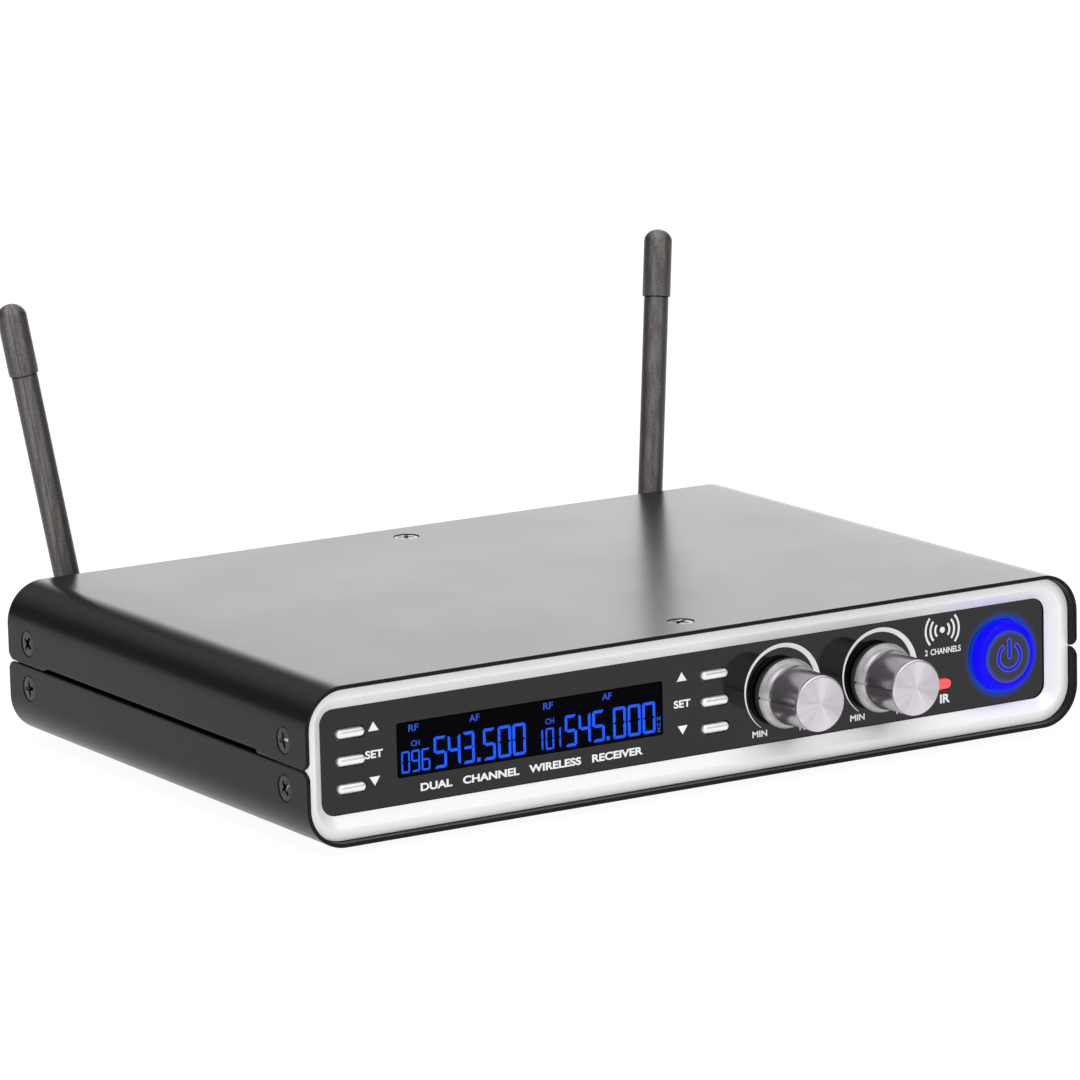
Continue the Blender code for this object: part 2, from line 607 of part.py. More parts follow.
def make_outputs():
    """Two three-pin outputs, a mixed jack output and the power inlet."""
    lip = REAR_FACE + GAP
    for key, x in XLR_X.items():
        cup = [(8.2 * MM, 1.4 * MM), (11.6 * MM, 1.4 * MM), (12.0 * MM, 1.0 * MM), (12.0 * MM, 0)]
        cup += [(9.8 * MM, 0), (9.8 * MM, -16.0 * MM), (0, -16.0 * MM)]
        cup = [(0, -14.2 * MM), (8.2 * MM, -14.2 * MM)] + cup
        socket = turned(f"balanced_output_{key}", cup, "steel", (x, lip, MID_Z), FACE_REAR, 24)
        offsets = []
        for turn in (90, 210, 330):
            angle = math.radians(turn)
            offsets.append((4.3 * MM * math.cos(angle), 4.3 * MM * math.sin(angle), 0))
        pins = several(round_bar(1.2 * MM, 11.0 * MM, 10), offsets)
        spot = (0, 0, -9.5 * MM)
        combine(socket, place_cutter(f"output_pins_{key}", pins, spot, FACE_UP, socket), "UNION")
    jack = [(3.3 * MM, 2.0 * MM), (6.4 * MM, 2.0 * MM), (7.0 * MM, 1.4 * MM), (7.0 * MM, 0)]
    jack += [(5.8 * MM, 0), (5.8 * MM, -3.0 * MM), (7.5 * MM, -3.0 * MM), (7.5 * MM, -22.0 * MM)]
    jack = [(0, -20.0 * MM), (3.3 * MM, -20.0 * MM)] + jack + [(0, -22.0 * MM)]
    turned("mix_output_jack", jack, "black_plastic", (JACK_X, lip, MID_Z), FACE_REAR, 24)
    inlet = [(0, -0.6 * MM), (1.0 * MM, -0.6 * MM), (1.0 * MM, -9.0 * MM), (3.15 * MM, -9.0 * MM)]
    inlet += [(3.15 * MM, 1.0 * MM), (6.6 * MM, 1.0 * MM), (6.6 * MM, 0), (5.4 * MM, 0)]
    inlet += [(5.4 * MM, -13.0 * MM), (0, -13.0 * MM)]
    turned("power_inlet", inlet, "black_plastic", (INLET_X, lip, MID_Z), FACE_REAR, 24)


def make_antenna(side):
    """One antenna: a base that turns in the rear panel, a rod that folds in it, and its cap."""
    sign, lean, tilt = ANTENNA_POSE[side]
    base = bpy.data.objects.new(f"antenna_turn_{side}", None)
    base.location = (sign * ANTENNA_X, ANTENNA_Y, MID_Z)
    base.rotation_euler = (0, math.radians(sign * lean), 0)
    base.parent = receiver
    parts.objects.link(base)
    reach = REAR_FACE + GAP - ANTENNA_Y
    hub = [(0, reach + 2.4 * MM), (7.6 * MM, reach + 2.4 * MM), (8.0 * MM, reach + 2.0 * MM)]
    hub += [(8.0 * MM, reach), (4.2 * MM, reach), (4.2 * MM, reach - REAR_THICK - 2 * GAP)]
    inner = reach - REAR_THICK - 2 * GAP
    hub += [(6.0 * MM, inner), (6.0 * MM, inner - 1.6 * MM), (0, inner - 1.6 * MM)]
    name = f"antenna_base_{side}"
    yoke = turned(name, hub, "black_plastic", (0, 0, 0), FACE_REAR, 20, parent=base)
    ear_radius = 5.2 * MM
    span = 11.4 * MM
    flat = -reach - 1.5 * MM
    cheek = block((span - 0.2 * MM, 2 * ear_radius - 0.1 * MM, flat))
    spot = (0, 0, -flat / 2)
    combine(yoke, place_cutter(name + "_cheek", cheek, spot, FACE_UP, yoke), "UNION")
    drum = round_bar(ear_radius, span, 20)
    combine(yoke, place_cutter(name + "_drum", drum, (0, 0, 0), FACE_RIGHT, yoke), "UNION")
    slot = block((2 * (ANTENNA_RADIUS + 0.35 * MM), 20 * MM, 20 * MM))
    spot = (0, 0, 10 * MM - 5.2 * MM)
    combine(yoke, place_cutter(name + "_slot", slot, spot, FACE_UP, yoke))
    pin = round_bar(1.3 * MM, 9.0 * MM, 16)
    combine(yoke, place_cutter(name + "_pin", pin, (0, 0, 0), FACE_RIGHT, yoke), "UNION")

    fold = bpy.data.objects.new(f"antenna_fold_{side}", None)
    fold.rotation_euler = (math.radians(-tilt), 0, 0)
    fold.parent = base
    parts.objects.link(fold)
    length = ANTENNA_LENGTH - 3.0 * MM
    low = ANTENNA_LENGTH - CAP_LENGTH
    stick = [(0, length), (ANTENNA_NECK, length), (ANTENNA_NECK, low - GAP)]
    stick += [(ANTENNA_RADIUS, low - GAP), (ANTENNA_RADIUS, 0), (0, 0)]
    name = f"antenna_rod_{side}"
    rod = turned(name, stick, "antenna_grey", (0, 0, 0), FACE_UP, 24, parent=fold)
    eye = round_bar(3.9 * MM, 2 * ANTENNA_RADIUS, 20)
    combine(rod, place_cutter(name + "_eye", eye, (0, 0, 0), FACE_RIGHT, rod), "UNION")
    bore = round_bar(1.6 * MM, 12 * MM, 16)
    combine(rod, place_cutter(name + "_bore", bore, (0, 0, 0), FACE_RIGHT, rod))

    dome = arc((0, ANTENNA_LENGTH - 3.4 * MM), 1.0, 90, 0, 5)
    centre = ANTENNA_LENGTH - 3.4 * MM
    sleeve = [(CAP_RADIUS * x, centre + 3.4 * MM * (y - centre)) for x, y in dome]
    inner = ANTENNA_NECK + GAP
    sleeve[0] = (0, ANTENNA_LENGTH)
    sleeve += [(CAP_RADIUS, low), (inner, low), (inner, length + GAP), (0, length + GAP)]
    turned(f"antenna_cap_{side}", sleeve, "antenna_grey", (0, 0, 0), FACE_UP, 24, parent=fold)


# ---------------------------------------------------------------- inside

def make_inside():
    """Main board on four posts, with a shielded tuner for each channel."""
    place_part("main_board", block(MAIN_BOARD_SIZE), "board_green", (0, 0, MAIN_BOARD_Z + 0.8 * MM))
    top = MAIN_BOARD_Z + MAIN_BOARD_SIZE[2] + GAP
    for key, x in (("a", -52 * MM), ("b", 52 * MM)):
        can = block((52 * MM, 38 * MM, 9 * MM), 0.8 * MM, None, 1)
        place_part(f"tuner_can_{key}", can, "steel", (x, 12 * MM, top + 4.5 * MM))
    count = 0
    low = SHEET + GAP
    high = MAIN_BOARD_Z - GAP
    for x in (-90 * MM, 90 * MM):
        for y in (-44 * MM, 44 * MM):
            count += 1
            post = round_bar(3 * MM, high - low, 12)
            place_part(f"board_post_{count}", post, "steel", (x, y, (low + high) / 2))


def settle_on_origin():
    """Move the receiver so that its box's bottom middle is at the origin."""
    bpy.context.view_layer.update()
    graph = bpy.context.evaluated_depsgraph_get()
    low = Vector((9, 9, 9))
    high = -low
    for part in parts.objects:
        if part.type != "MESH":
            continue
        shape = part.evaluated_get(graph)
        for corner in shape.data.vertices:
            point = shape.matrix_world @ corner.co
            low = Vector(map(min, low, point))
            high = Vector(map(max, high, point))
    receiver.location = (-(low.x + high.x) / 2, -(low.y + high.y) / 2, -low.z)
    bpy.context.view_layer.update()


clear_objects()
paints = make_finishes()
parts = make_collection("wireless_receiver")
cutters = make_collection("cutters")
receiver = bpy.data.objects.new("receiver_frame", None)
parts.objects.link(receiver)

make_shell("upper_shell", FACE_UP, SLOT_RISE, True)
make_shell("lower_shell", (0, math.radians(180), 0), 0.0, False)
make_front_bezel()
make_front_panel()
make_display()
make_keys()
make_key_switches()
make_volume_controls()
make_power_button()
make_ir_window()
make_control_board()
make_rear_panel()
make_outputs()
make_antenna("left")
make_antenna("right")
make_inside()
make_screws()
make_feet()
settle_on_origin()
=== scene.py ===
import json
import math

import bmesh
import bpy
import numpy as np
from mathutils import Matrix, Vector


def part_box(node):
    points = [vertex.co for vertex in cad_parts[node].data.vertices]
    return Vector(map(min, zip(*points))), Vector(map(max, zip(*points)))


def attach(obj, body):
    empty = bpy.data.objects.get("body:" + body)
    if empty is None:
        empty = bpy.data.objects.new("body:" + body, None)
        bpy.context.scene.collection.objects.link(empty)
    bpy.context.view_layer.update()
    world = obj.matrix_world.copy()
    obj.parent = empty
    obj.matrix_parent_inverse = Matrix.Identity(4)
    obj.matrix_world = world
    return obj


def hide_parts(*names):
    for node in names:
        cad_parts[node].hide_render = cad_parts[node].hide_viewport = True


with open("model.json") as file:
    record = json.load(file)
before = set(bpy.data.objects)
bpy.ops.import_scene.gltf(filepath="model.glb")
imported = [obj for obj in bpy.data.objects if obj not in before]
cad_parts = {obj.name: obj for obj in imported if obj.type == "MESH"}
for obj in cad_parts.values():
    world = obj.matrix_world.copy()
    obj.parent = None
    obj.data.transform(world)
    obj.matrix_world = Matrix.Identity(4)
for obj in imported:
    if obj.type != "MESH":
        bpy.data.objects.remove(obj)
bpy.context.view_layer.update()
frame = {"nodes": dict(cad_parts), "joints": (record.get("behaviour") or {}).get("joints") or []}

# Half-rack dual wireless receiver. Lengths are in metres, X to the right, Y to the rear, Z up.
# Every piece is made in place, so its object stays at the origin, unturned and unscaled.

MM = 0.001

shell_low, shell_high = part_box("upper_shell")
plate_low, plate_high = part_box("front_panel")

RIM = shell_low.y
TAIL = shell_high.y
HALF = shell_high.x
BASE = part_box("lower_shell")[0].z
TOP = shell_high.z
MID = (BASE + TOP) / 2
PLATE = plate_low.y
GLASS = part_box("display_window")[0].y
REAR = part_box("rear_panel")[1].y
SHEET = 1.0 * MM
BEND = 10.0 * MM
SEAM = shell_low.z - MID
SEAM_CORNER = 2.6 * MM
SLOT_RISE = 0.85 * MM
SLOT_START = RIM + 23.2 * MM
SLOT_END = TAIL - 18.6 * MM
SLOT_RUN = [SLOT_START, SLOT_START + SLOT_RISE, SLOT_END - 3 * SLOT_RISE, SLOT_END]
PRINT = 0.02 * MM
SUNK = PRINT / 4
WELD = 2e-7
SMOOTH = 32.0
SOCKET_FACE = REAR + 0.3 * MM

LEFT = np.array((-1.0, 0, 0))
RIGHT = np.array((1.0, 0, 0))
FRONT = np.array((0, -1.0, 0))
BACK = np.array((0, 1.0, 0))
UP = np.array((0, 0, 1.0))


# ---------------------------------------------------------------- meshes

def place(name, data):
    """A new object in the scene for a mesh, a curve or a camera."""
    item = bpy.data.objects.new(name, data)
    bpy.context.scene.collection.objects.link(item)
    return item


def middle_of(node):
    """The middle of a CAD node's box."""
    low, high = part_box(node)
    return np.array((low + high) / 2)


def centre_of(node, y):
    """The middle of a CAD node's box in X and Z, at a place along Y."""
    low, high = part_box(node)
    return np.array(((low.x + high.x) / 2, y, (low.z + high.z) / 2))


def skin(rings, loop=False, ends="flat"):
    """Points and faces of a solid whose skin joins each ring of points to the next.

    rings is (rings, points, 3). With loop the last ring joins the first. Ends are closed
    flat, or left as they are where a ring has shrunk to one point or a line.
    """
    count, around = rings.shape[:2]
    index = np.arange(count * around).reshape(count, around)
    nearer = index if loop else index[:-1]
    farther = np.roll(index, -1, axis=0) if loop else index[1:]
    quads = np.stack(
        [nearer, np.roll(nearer, -1, axis=1), np.roll(farther, -1, axis=1), farther], axis=-1
    )
    faces = quads.reshape(-1, 4).tolist()
    if ends == "flat" and not loop:
        faces.append(index[0][::-1].tolist())
        faces.append(index[-1].tolist())
    return rings.reshape(-1, 3), faces


def piece(name, points, faces, finish, body="chassis", replaces=(), smooth=SMOOTH,
          weld=False, turn_uv=None):
    """Make one piece from points and faces, facing outwards, riding on a CAD body. Its slot
    goes with its finish."""
    mesh = bpy.data.meshes.new(name)
    mesh.from_pydata(points.tolist(), [], faces)
    if turn_uv is not None:
        corner = np.empty(len(mesh.loops), np.int32)
        mesh.loops.foreach_get("vertex_index", corner)
        layer = mesh.uv_layers.new(name="turning")
        layer.uv.foreach_set("vector", turn_uv[corner].astype(np.float32).ravel())
    if weld:
        weld_mesh(mesh)
    face_out(mesh)
    mesh.materials.append(finish)
    item = place(name, mesh)
    mesh.shade_smooth()
    mesh.set_sharp_from_angle(angle=math.radians(smooth))
    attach(item, body)
    if replaces:
        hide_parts(*replaces)
    return item


def weld_mesh(mesh):
    """Merge points that lie together, which closes poles and ridge lines."""
    shape = bmesh.new()
    shape.from_mesh(mesh)
    bmesh.ops.remove_doubles(shape, verts=shape.verts, dist=WELD)
    shape.to_mesh(mesh)
    shape.free()


def points_of(mesh):
    """A mesh's points, as (points, 3)."""
    co = np.empty(len(mesh.vertices) * 3)
    mesh.vertices.foreach_get("co", co)
    return co.reshape(-1, 3)


def face_out(mesh):
    """Turn every face over if the signed volume of the triangles is negative."""
    mesh.calc_loop_triangles()
    corners = np.empty(len(mesh.loop_triangles) * 3, np.int32)
    mesh.loop_triangles.foreach_get("vertices", corners)
    co = points_of(mesh)
    a, b, c = co[corners].reshape(-1, 3, 3).transpose(1, 0, 2)
    middle = co.mean(axis=0)
    if np.einsum("ij,ij->i", a - middle, np.cross(b - middle, c - middle)).sum() < 0:
        mesh.flip_normals()


def soften(points, radius, steps=4, closed=False):
    """A line of points with each corner replaced by a short parabola that starts and ends
    the given distance from the corner, or nearer where the sides are short."""
    points = np.asarray(points, float)
    count = len(points)
    result = []
    t = np.linspace(0, 1, steps + 1)[:, None]
    for i in range(count):
        if not closed and i in (0, count - 1):
            result.append(points[i:i + 1])
            continue
        before, here, after = points[i - 1], points[i], points[(i + 1) % count]
        back, on = before - here, after - here
        cut = min(radius, 0.45 * np.linalg.norm(back), 0.45 * np.linalg.norm(on))
        start = here + back / np.linalg.norm(back) * cut
        end = here + on / np.linalg.norm(on) * cut
        result.append((1 - t) ** 2 * start + 2 * t * (1 - t) * here + t ** 2 * end)
    return np.vstack(result)


def frame_of(axis):
    """Two directions square to an axis: the first level, the second the rest of the way."""
    axis = np.asarray(axis, float)
    side = np.cross(UP, axis)
    if np.linalg.norm(side) < 1e-6:
        side = np.array((1.0, 0, 0))
    side = side / np.linalg.norm(side)
    return side, np.cross(axis, side)


def circle_of(axis, angle):
    """Points on the unit circle round an axis, at angles from its first square direction."""
    side, up = frame_of(axis)
    return np.cos(angle)[:, None] * side + np.sin(angle)[:, None] * up


def turned(name, profile, centre, axis, finish, steps=96, dent=None, loop=False, **options):
    """A turned piece. The profile is (radius, height) in millimetres, and the point at angle
    a is centre + radius (cos a side + sin a up) + height axis. dent takes (angle, height)
    and gives how far the surface is pressed in there."""
    profile = np.asarray(profile, float) * MM
    angle = np.linspace(0, math.tau, steps, endpoint=False)
    radius = np.repeat(profile[:, :1], steps, axis=1)
    height = np.repeat(profile[:, 1:], steps, axis=1)
    if dent is not None:
        press = dent(angle[None, :], height)
        radius = np.where(radius > 0, np.maximum(radius - press, 0), 0)
    rings = (np.asarray(centre) + radius[..., None] * circle_of(axis, angle)
             + height[..., None] * np.asarray(axis))
    points, faces = skin(rings, loop=loop, ends="open")
    run = np.concatenate([[0], np.cumsum(np.linalg.norm(np.diff(profile, axis=0), axis=1))])
    uv = np.stack(np.broadcast_arrays(angle[None, :] / math.tau, run[:, None] * 100), axis=-1)
    return piece(name, points, faces, finish, weld=True, turn_uv=uv.reshape(-1, 2), **options)


def prism(name, outline, low, high, finish, **options):
    """A flat outline in X and Z, given its thickness between two places along Y."""
    outline = np.asarray(outline, float)
    rings = np.zeros((2, len(outline), 3))
    rings[..., 0] = outline[:, 0]
    rings[..., 2] = outline[:, 1]
    rings[0, :, 1] = low
    rings[1, :, 1] = high
    points, faces = skin(rings)
    return piece(name, points, faces, finish, **options)


def rounded(width, height, radius, steps=12):
    """Points round a rounded rectangle about the origin, anticlockwise."""
    angle = np.linspace(0, math.pi / 2, steps + 1)
    corner = np.stack([np.cos(angle), np.sin(angle)], axis=1) * radius
    middle = np.array((width / 2 - radius, height / 2 - radius))
    spin = np.array(((0, -1), (1, 0)))
    parts = []
    for turn, sign in enumerate(((1, 1), (-1, 1), (-1, -1), (1, -1))):
        parts.append(corner @ np.linalg.matrix_power(spin, turn).T + middle * sign)
    return np.vstack(parts)


def stations(low, high, fine, reach, coarse, extra=()):
    """Places along a run, close together within reach of both ends."""
    near = np.linspace(0, 1, fine) ** 1.6 * reach
    middle = np.linspace(low + reach, high - reach, coarse)
    return np.unique(np.round(np.concatenate([low + near, middle, high - near, extra]), 8))


def cut(item, tools):
    """Cut tool shapes out of a piece for good, then remove the tools."""
    for tool in tools:
        step = item.modifiers.new("cut", "BOOLEAN")
        step.operation = "DIFFERENCE"
        step.solver = "EXACT"
        step.object = tool
    bpy.context.view_layer.update()
    shape = item.evaluated_get(bpy.context.evaluated_depsgraph_get())
    mesh = bpy.data.meshes.new_from_object(shape)
    item.modifiers.clear()
    item.data = mesh
    mesh.shade_smooth()
    mesh.set_sharp_from_angle(angle=math.radians(SMOOTH))
    for tool in tools:
        bpy.data.objects.remove(tool)


def cutter(points, faces):
    """A bare shape for cut() to use."""
    mesh = bpy.data.meshes.new("cutter")
    mesh.from_pydata(points.tolist(), [], faces)
    face_out(mesh)
    return place("cutter", mesh)


# ---------------------------------------------------------------- finishes

def add(tree, kind, inputs=None, **settings):
    """One node, its settings, and its inputs as steady values or links."""
    node = tree.nodes.new("ShaderNode" + kind)
    for key, value in settings.items():
        setattr(node, key, value)
    for key, value in (inputs or {}).items():
        if isinstance(value, bpy.types.NodeSocket):
            tree.links.new(value, node.inputs[key])
        else:
            node.inputs[key].default_value = value
    return node


def sockets_of(tree):
    """The inputs of a finish's Principled shader."""
    return tree.nodes["Principled BSDF"].inputs


def finish(name, colour, roughness, metallic=0.0, **steady):
    """A Principled finish with its steady values on the shader's own sockets."""
    paint = bpy.data.materials.new(name)
    paint.use_nodes = True
    sockets = sockets_of(paint.node_tree)
    sockets["Base Color"].default_value = (*colour, 1)
    sockets["Roughness"].default_value = roughness
    sockets["Metallic"].default_value = metallic
    for key, value in steady.items():
        sockets[key.replace("_", " ")].default_value = value
    return paint, paint.node_tree


def place_of(tree):
    """Where the shaded point is on the receiver at rest."""
    return add(tree, "TexCoord").outputs["Object"]


def reckon(tree, operation, *values):
    """The result of a sum on sockets and steady values."""
    return add(tree, "Math", dict(enumerate(values)), operation=operation).outputs["Value"]


def mapped(tree, vector, **kit):
    """A vector moved or stretched."""
    return add(tree, "Mapping", {"Vector": vector, **kit}).outputs["Vector"]


def noise(tree, scale, detail=2.0, rough=0.5, stretch=None):
    """Cloudy noise over the piece; scale is cycles per metre, stretch is per axis."""
    where = place_of(tree)
    if stretch:
        where = mapped(tree, where, Scale=stretch)
    kit = {"Vector": where, "Scale": scale, "Detail": detail, "Roughness": rough}
    return add(tree, "TexNoise", kit).outputs["Fac"]


def spread(tree, value, start, end, low, high):
    """A value remapped smoothly from start..end to low..high."""
    kit = {"Value": value, "From Min": start, "From Max": end, "To Min": low, "To Max": high}
    return add(tree, "MapRange", kit, interpolation_type="SMOOTHSTEP").outputs["Result"]


def drive(tree, socket, value, start, end, low, high):
    """A shader socket that follows a value, remapped smoothly."""
    tree.links.new(spread(tree, value, start, end, low, high), sockets_of(tree)[socket])


def scaled(colour, by):
    """A colour made darker or paler."""
    return tuple(by * part for part in colour)


def tint(tree, share, dark, light):
    """Base colour that runs from dark to light with a share. A Mix node's colours are its
    inputs 6 and 7 and its output 2."""
    mixer = add(tree, "Mix", {0: share, 6: (*dark, 1), 7: (*light, 1)}, data_type="RGBA")
    tree.links.new(mixer.outputs[2], sockets_of(tree)["Base Color"])


def button_reach(tree):
    """Distance from the power button's axis, in metres."""
    centre = tuple(-part for part in centre_of("power_button", 0))
    flat = mapped(tree, mapped(tree, place_of(tree), Location=centre), Scale=(1, 0, 1))
    return add(tree, "VectorMath", {0: flat}, operation="LENGTH").outputs["Value"]


def relief(tree, layers):
    """Bumps, each (height, depth in metres, strength), one on top of the other."""
    before = None
    for height, depth, strength in layers:
        kit = {"Height": height, "Distance": depth, "Strength": strength}
        if before is not None:
            kit["Normal"] = before
        before = add(tree, "Bump", kit).outputs["Normal"]
    tree.links.new(before, sockets_of(tree)["Normal"])


def case_paint():
    """Black powder coat: fine leathery grain, soft cloudiness, a few specks of dust."""
    black = (0.008, 0.008, 0.008)
    paint, tree = finish("case_paint", black, 0.26, Specular_IOR_Level=0.12)
    grain = noise(tree, 2600, 3.0, 0.6)
    orange = noise(tree, 520, 2.0, 0.5)
    cloud = noise(tree, 26, 3.0, 0.55)
    speck = noise(tree, 900, 1.0, 0.3)
    dust = spread(tree, speck, 0.76, 0.84, 0.0, 1.0)
    tint(tree, dust, black, (0.024, 0.024, 0.023))
    drive(tree, "Roughness", cloud, 0.3, 0.7, 0.255, 0.275)
    relief(tree, [(orange, 0.000012, 0.25), (grain, 0.000008, 0.5)])
    return paint


def frame_satin():
    """Pale silver paint on moulded plastic, with a trace of flow and fine flake."""
    paint, tree = finish("frame_satin", (0.93, 0.93, 0.93), 0.30, 0.12)
    flake = noise(tree, 4200, 2.0, 0.7)
    flow = noise(tree, 60, 2.0, 0.5, (0.25, 1.0, 1.0))
    tint(tree, flow, (0.91, 0.91, 0.91), (0.96, 0.96, 0.955))
    drive(tree, "Roughness", flow, 0.3, 0.7, 0.28, 0.36)
    relief(tree, [(flake, 0.000004, 0.15)])
    return paint


def panel_gloss():
    """Clear-faced black panel, with the lit button's blue glow painted onto it round its hole as
    emission.
    """
    paint, tree = finish("panel_gloss", (0.002, 0.002, 0.0022), 0.09,
                         Emission_Color=(0.0, 0.075, 0.80, 1))
    haze = noise(tree, 90, 3.0, 0.6)
    ripple = noise(tree, 160, 1.0, 0.4)
    reach = button_reach(tree)
    drive(tree, "Roughness", haze, 0.35, 0.75, 0.07, 0.13)
    # Painted glow: emission round the button's hole stands in for its blue light falling on the
    # panel.
    drive(tree, "Emission Strength", reach, 11.3 * MM, 8.3 * MM, 0.0, 0.75)
    drive(tree, "Specular IOR Level", reach, 8.6 * MM, 11.0 * MM, 0.05, 0.42)
    relief(tree, [(ripple, 0.000010, 0.05)])
    return paint


def display_smoke():
    """Black display glass with a few smears."""
    paint, tree = finish("display_smoke", (0.0008, 0.0008, 0.0014), 0.06,
                         Specular_IOR_Level=0.02)
    smear = noise(tree, 120, 3.0, 0.6, (0.3, 1, 1))
    drive(tree, "Roughness", smear, 0.4, 0.8, 0.05, 0.14)
    return paint


def lit(name, colour, strength):
    """Light coming through a mask, a little uneven from edge to edge."""
    paint, tree = finish(name, scaled(colour, 0.15), 0.35, Specular_IOR_Level=0.12,
                         Emission_Color=(*colour, 1))
    patch = noise(tree, 700, 2.0, 0.5)
    drive(tree, "Emission Strength", patch, 0.3, 0.7, 0.88 * strength, 1.08 * strength)
    return paint


def printed(name, colour):
    """Screen print: slightly uneven ink."""
    paint, tree = finish(name, colour, 0.45)
    ink = noise(tree, 2400, 2.0, 0.6)
    tint(tree, ink, scaled(colour, 0.93), colour)
    relief(tree, [(ink, 0.000003, 0.2)])
    return paint


def key_pearl():
    """White plastic with a pearl coat."""
    paint, tree = finish("key_pearl", (0.90, 0.90, 0.90), 0.20, 0.55, Coat_Weight=0.5,
                         Coat_Roughness=0.08)
    fleck = noise(tree, 3200, 2.0, 0.6)
    tint(tree, fleck, (0.88, 0.88, 0.88), (0.95, 0.95, 0.95))
    relief(tree, [(fleck, 0.000003, 0.12)])
    return paint


def spun_metal(name, colour, low, high, streaks, metallic):
    """Spun aluminium: the tool's rings follow the turning, and pale and dark streaks fan out with
    the angle, part streaks in the metal and part painted highlight fans.
    """
    paint, tree = finish(name, colour, (low + high) / 2, metallic, Anisotropic=0.75)
    map_uv = add(tree, "UVMap", uv_map="turning").outputs["UV"]
    fine = mapped(tree, map_uv, Scale=(1.0, 90.0, 1.0))
    rings = add(tree, "TexNoise", {"Vector": fine, "Scale": 12.0, "Detail": 3.0}).outputs["Fac"]
    # Painted highlight fans mixed with real streaks: the tone rises and falls with the angle round
    # the knob.
    wide = mapped(tree, map_uv, Scale=(streaks, 0.4, 1.0))
    streak_and_highlight_fan = add(tree, "TexNoise", {"Vector": wide, "Scale": 1.0, "Detail": 2.0}).outputs["Fac"]
    both = reckon(tree, "ADD", reckon(tree, "MULTIPLY", rings, 0.3), streak_and_highlight_fan)
    share = spread(tree, both, 0.45, 0.85, 0.0, 1.0)
    tint(tree, share, scaled(colour, 0.84), scaled(colour, 1.12))
    drive(tree, "Roughness", rings, 0.3, 0.7, low, high)
    relief(tree, [(rings, 0.000004, 0.10)])
    way = add(tree, "Tangent", direction_type="UV_MAP", uv_map="turning").outputs["Tangent"]
    tree.links.new(way, sockets_of(tree)["Tangent"])
    return paint


def moulded_black(name, colour, roughness):
    """Moulded black plastic with a fine spark-eroded grain."""
    paint, tree = finish(name, colour, roughness)
    grain = noise(tree, 3000, 3.0, 0.6)
    patch = noise(tree, 140, 2.0, 0.5)
    tint(tree, spread(tree, patch, 0.3, 0.8, 0.0, 1.0), colour, scaled(colour, 1.6))
    drive(tree, "Roughness", patch, 0.3, 0.7, roughness - 0.05, roughness + 0.06)
    relief(tree, [(grain, 0.000010, 0.3)])
    return paint


def plated(name, colour, roughness, stretch=None):
    """Plated metal with faint drawing marks and dull patches."""
    paint, tree = finish(name, colour, roughness, 1.0)
    marks = noise(tree, 900, 3.0, 0.6, stretch or (1, 1, 1))
    patch = noise(tree, 70, 3.0, 0.5)
    tint(tree, patch, scaled(colour, 0.85), colour)
    drive(tree, "Roughness", marks, 0.3, 0.7, roughness - 0.07, roughness + 0.07)
    relief(tree, [(marks, 0.000006, 0.15)])
    return paint


def ring_blue():
    """Clear blue ring lit from inside, a little unevenly."""
    paint, tree = finish("ring_blue", (0.001, 0.001, 0.10), 0.12,
                         Specular_IOR_Level=0.06,
                         Emission_Color=(0.009, 0.0035, 0.92, 1))
    patch = noise(tree, 160, 2.0, 0.5)
    drive(tree, "Emission Strength", patch, 0.25, 0.75, 0.86, 1.0)
    return paint


def disc_dark():
    """Smoked button face with the ring's light creeping in from its edge."""
    paint, tree = finish("disc_dark", (0.010, 0.010, 0.014), 0.16,
                         Specular_IOR_Level=0.45,
                         Emission_Color=(0.001, 0.075, 0.85, 1))
    reach = button_reach(tree)
    haze = noise(tree, 500, 2.0, 0.5)
    drive(tree, "Emission Strength", reach, 5.2 * MM, 6.8 * MM, 0.004, 0.50)
    drive(tree, "Roughness", haze, 0.3, 0.7, 0.12, 0.20)
    return paint


def lens_red():
    """Red infrared window with a painted glow: emission stands in for light coming through the red
    plastic.
    """
    paint, tree = finish("lens_red", (0.85, 0.05, 0.045), 0.18,
                         Emission_Color=(1.0, 0.09, 0.075, 1))
    patch = noise(tree, 500, 2.0, 0.5)
    # Painted glow: the window is no lamp, and this emission is painted light.
    drive(tree, "Emission Strength", patch, 0.3, 0.7, 0.50, 0.72)
    return paint


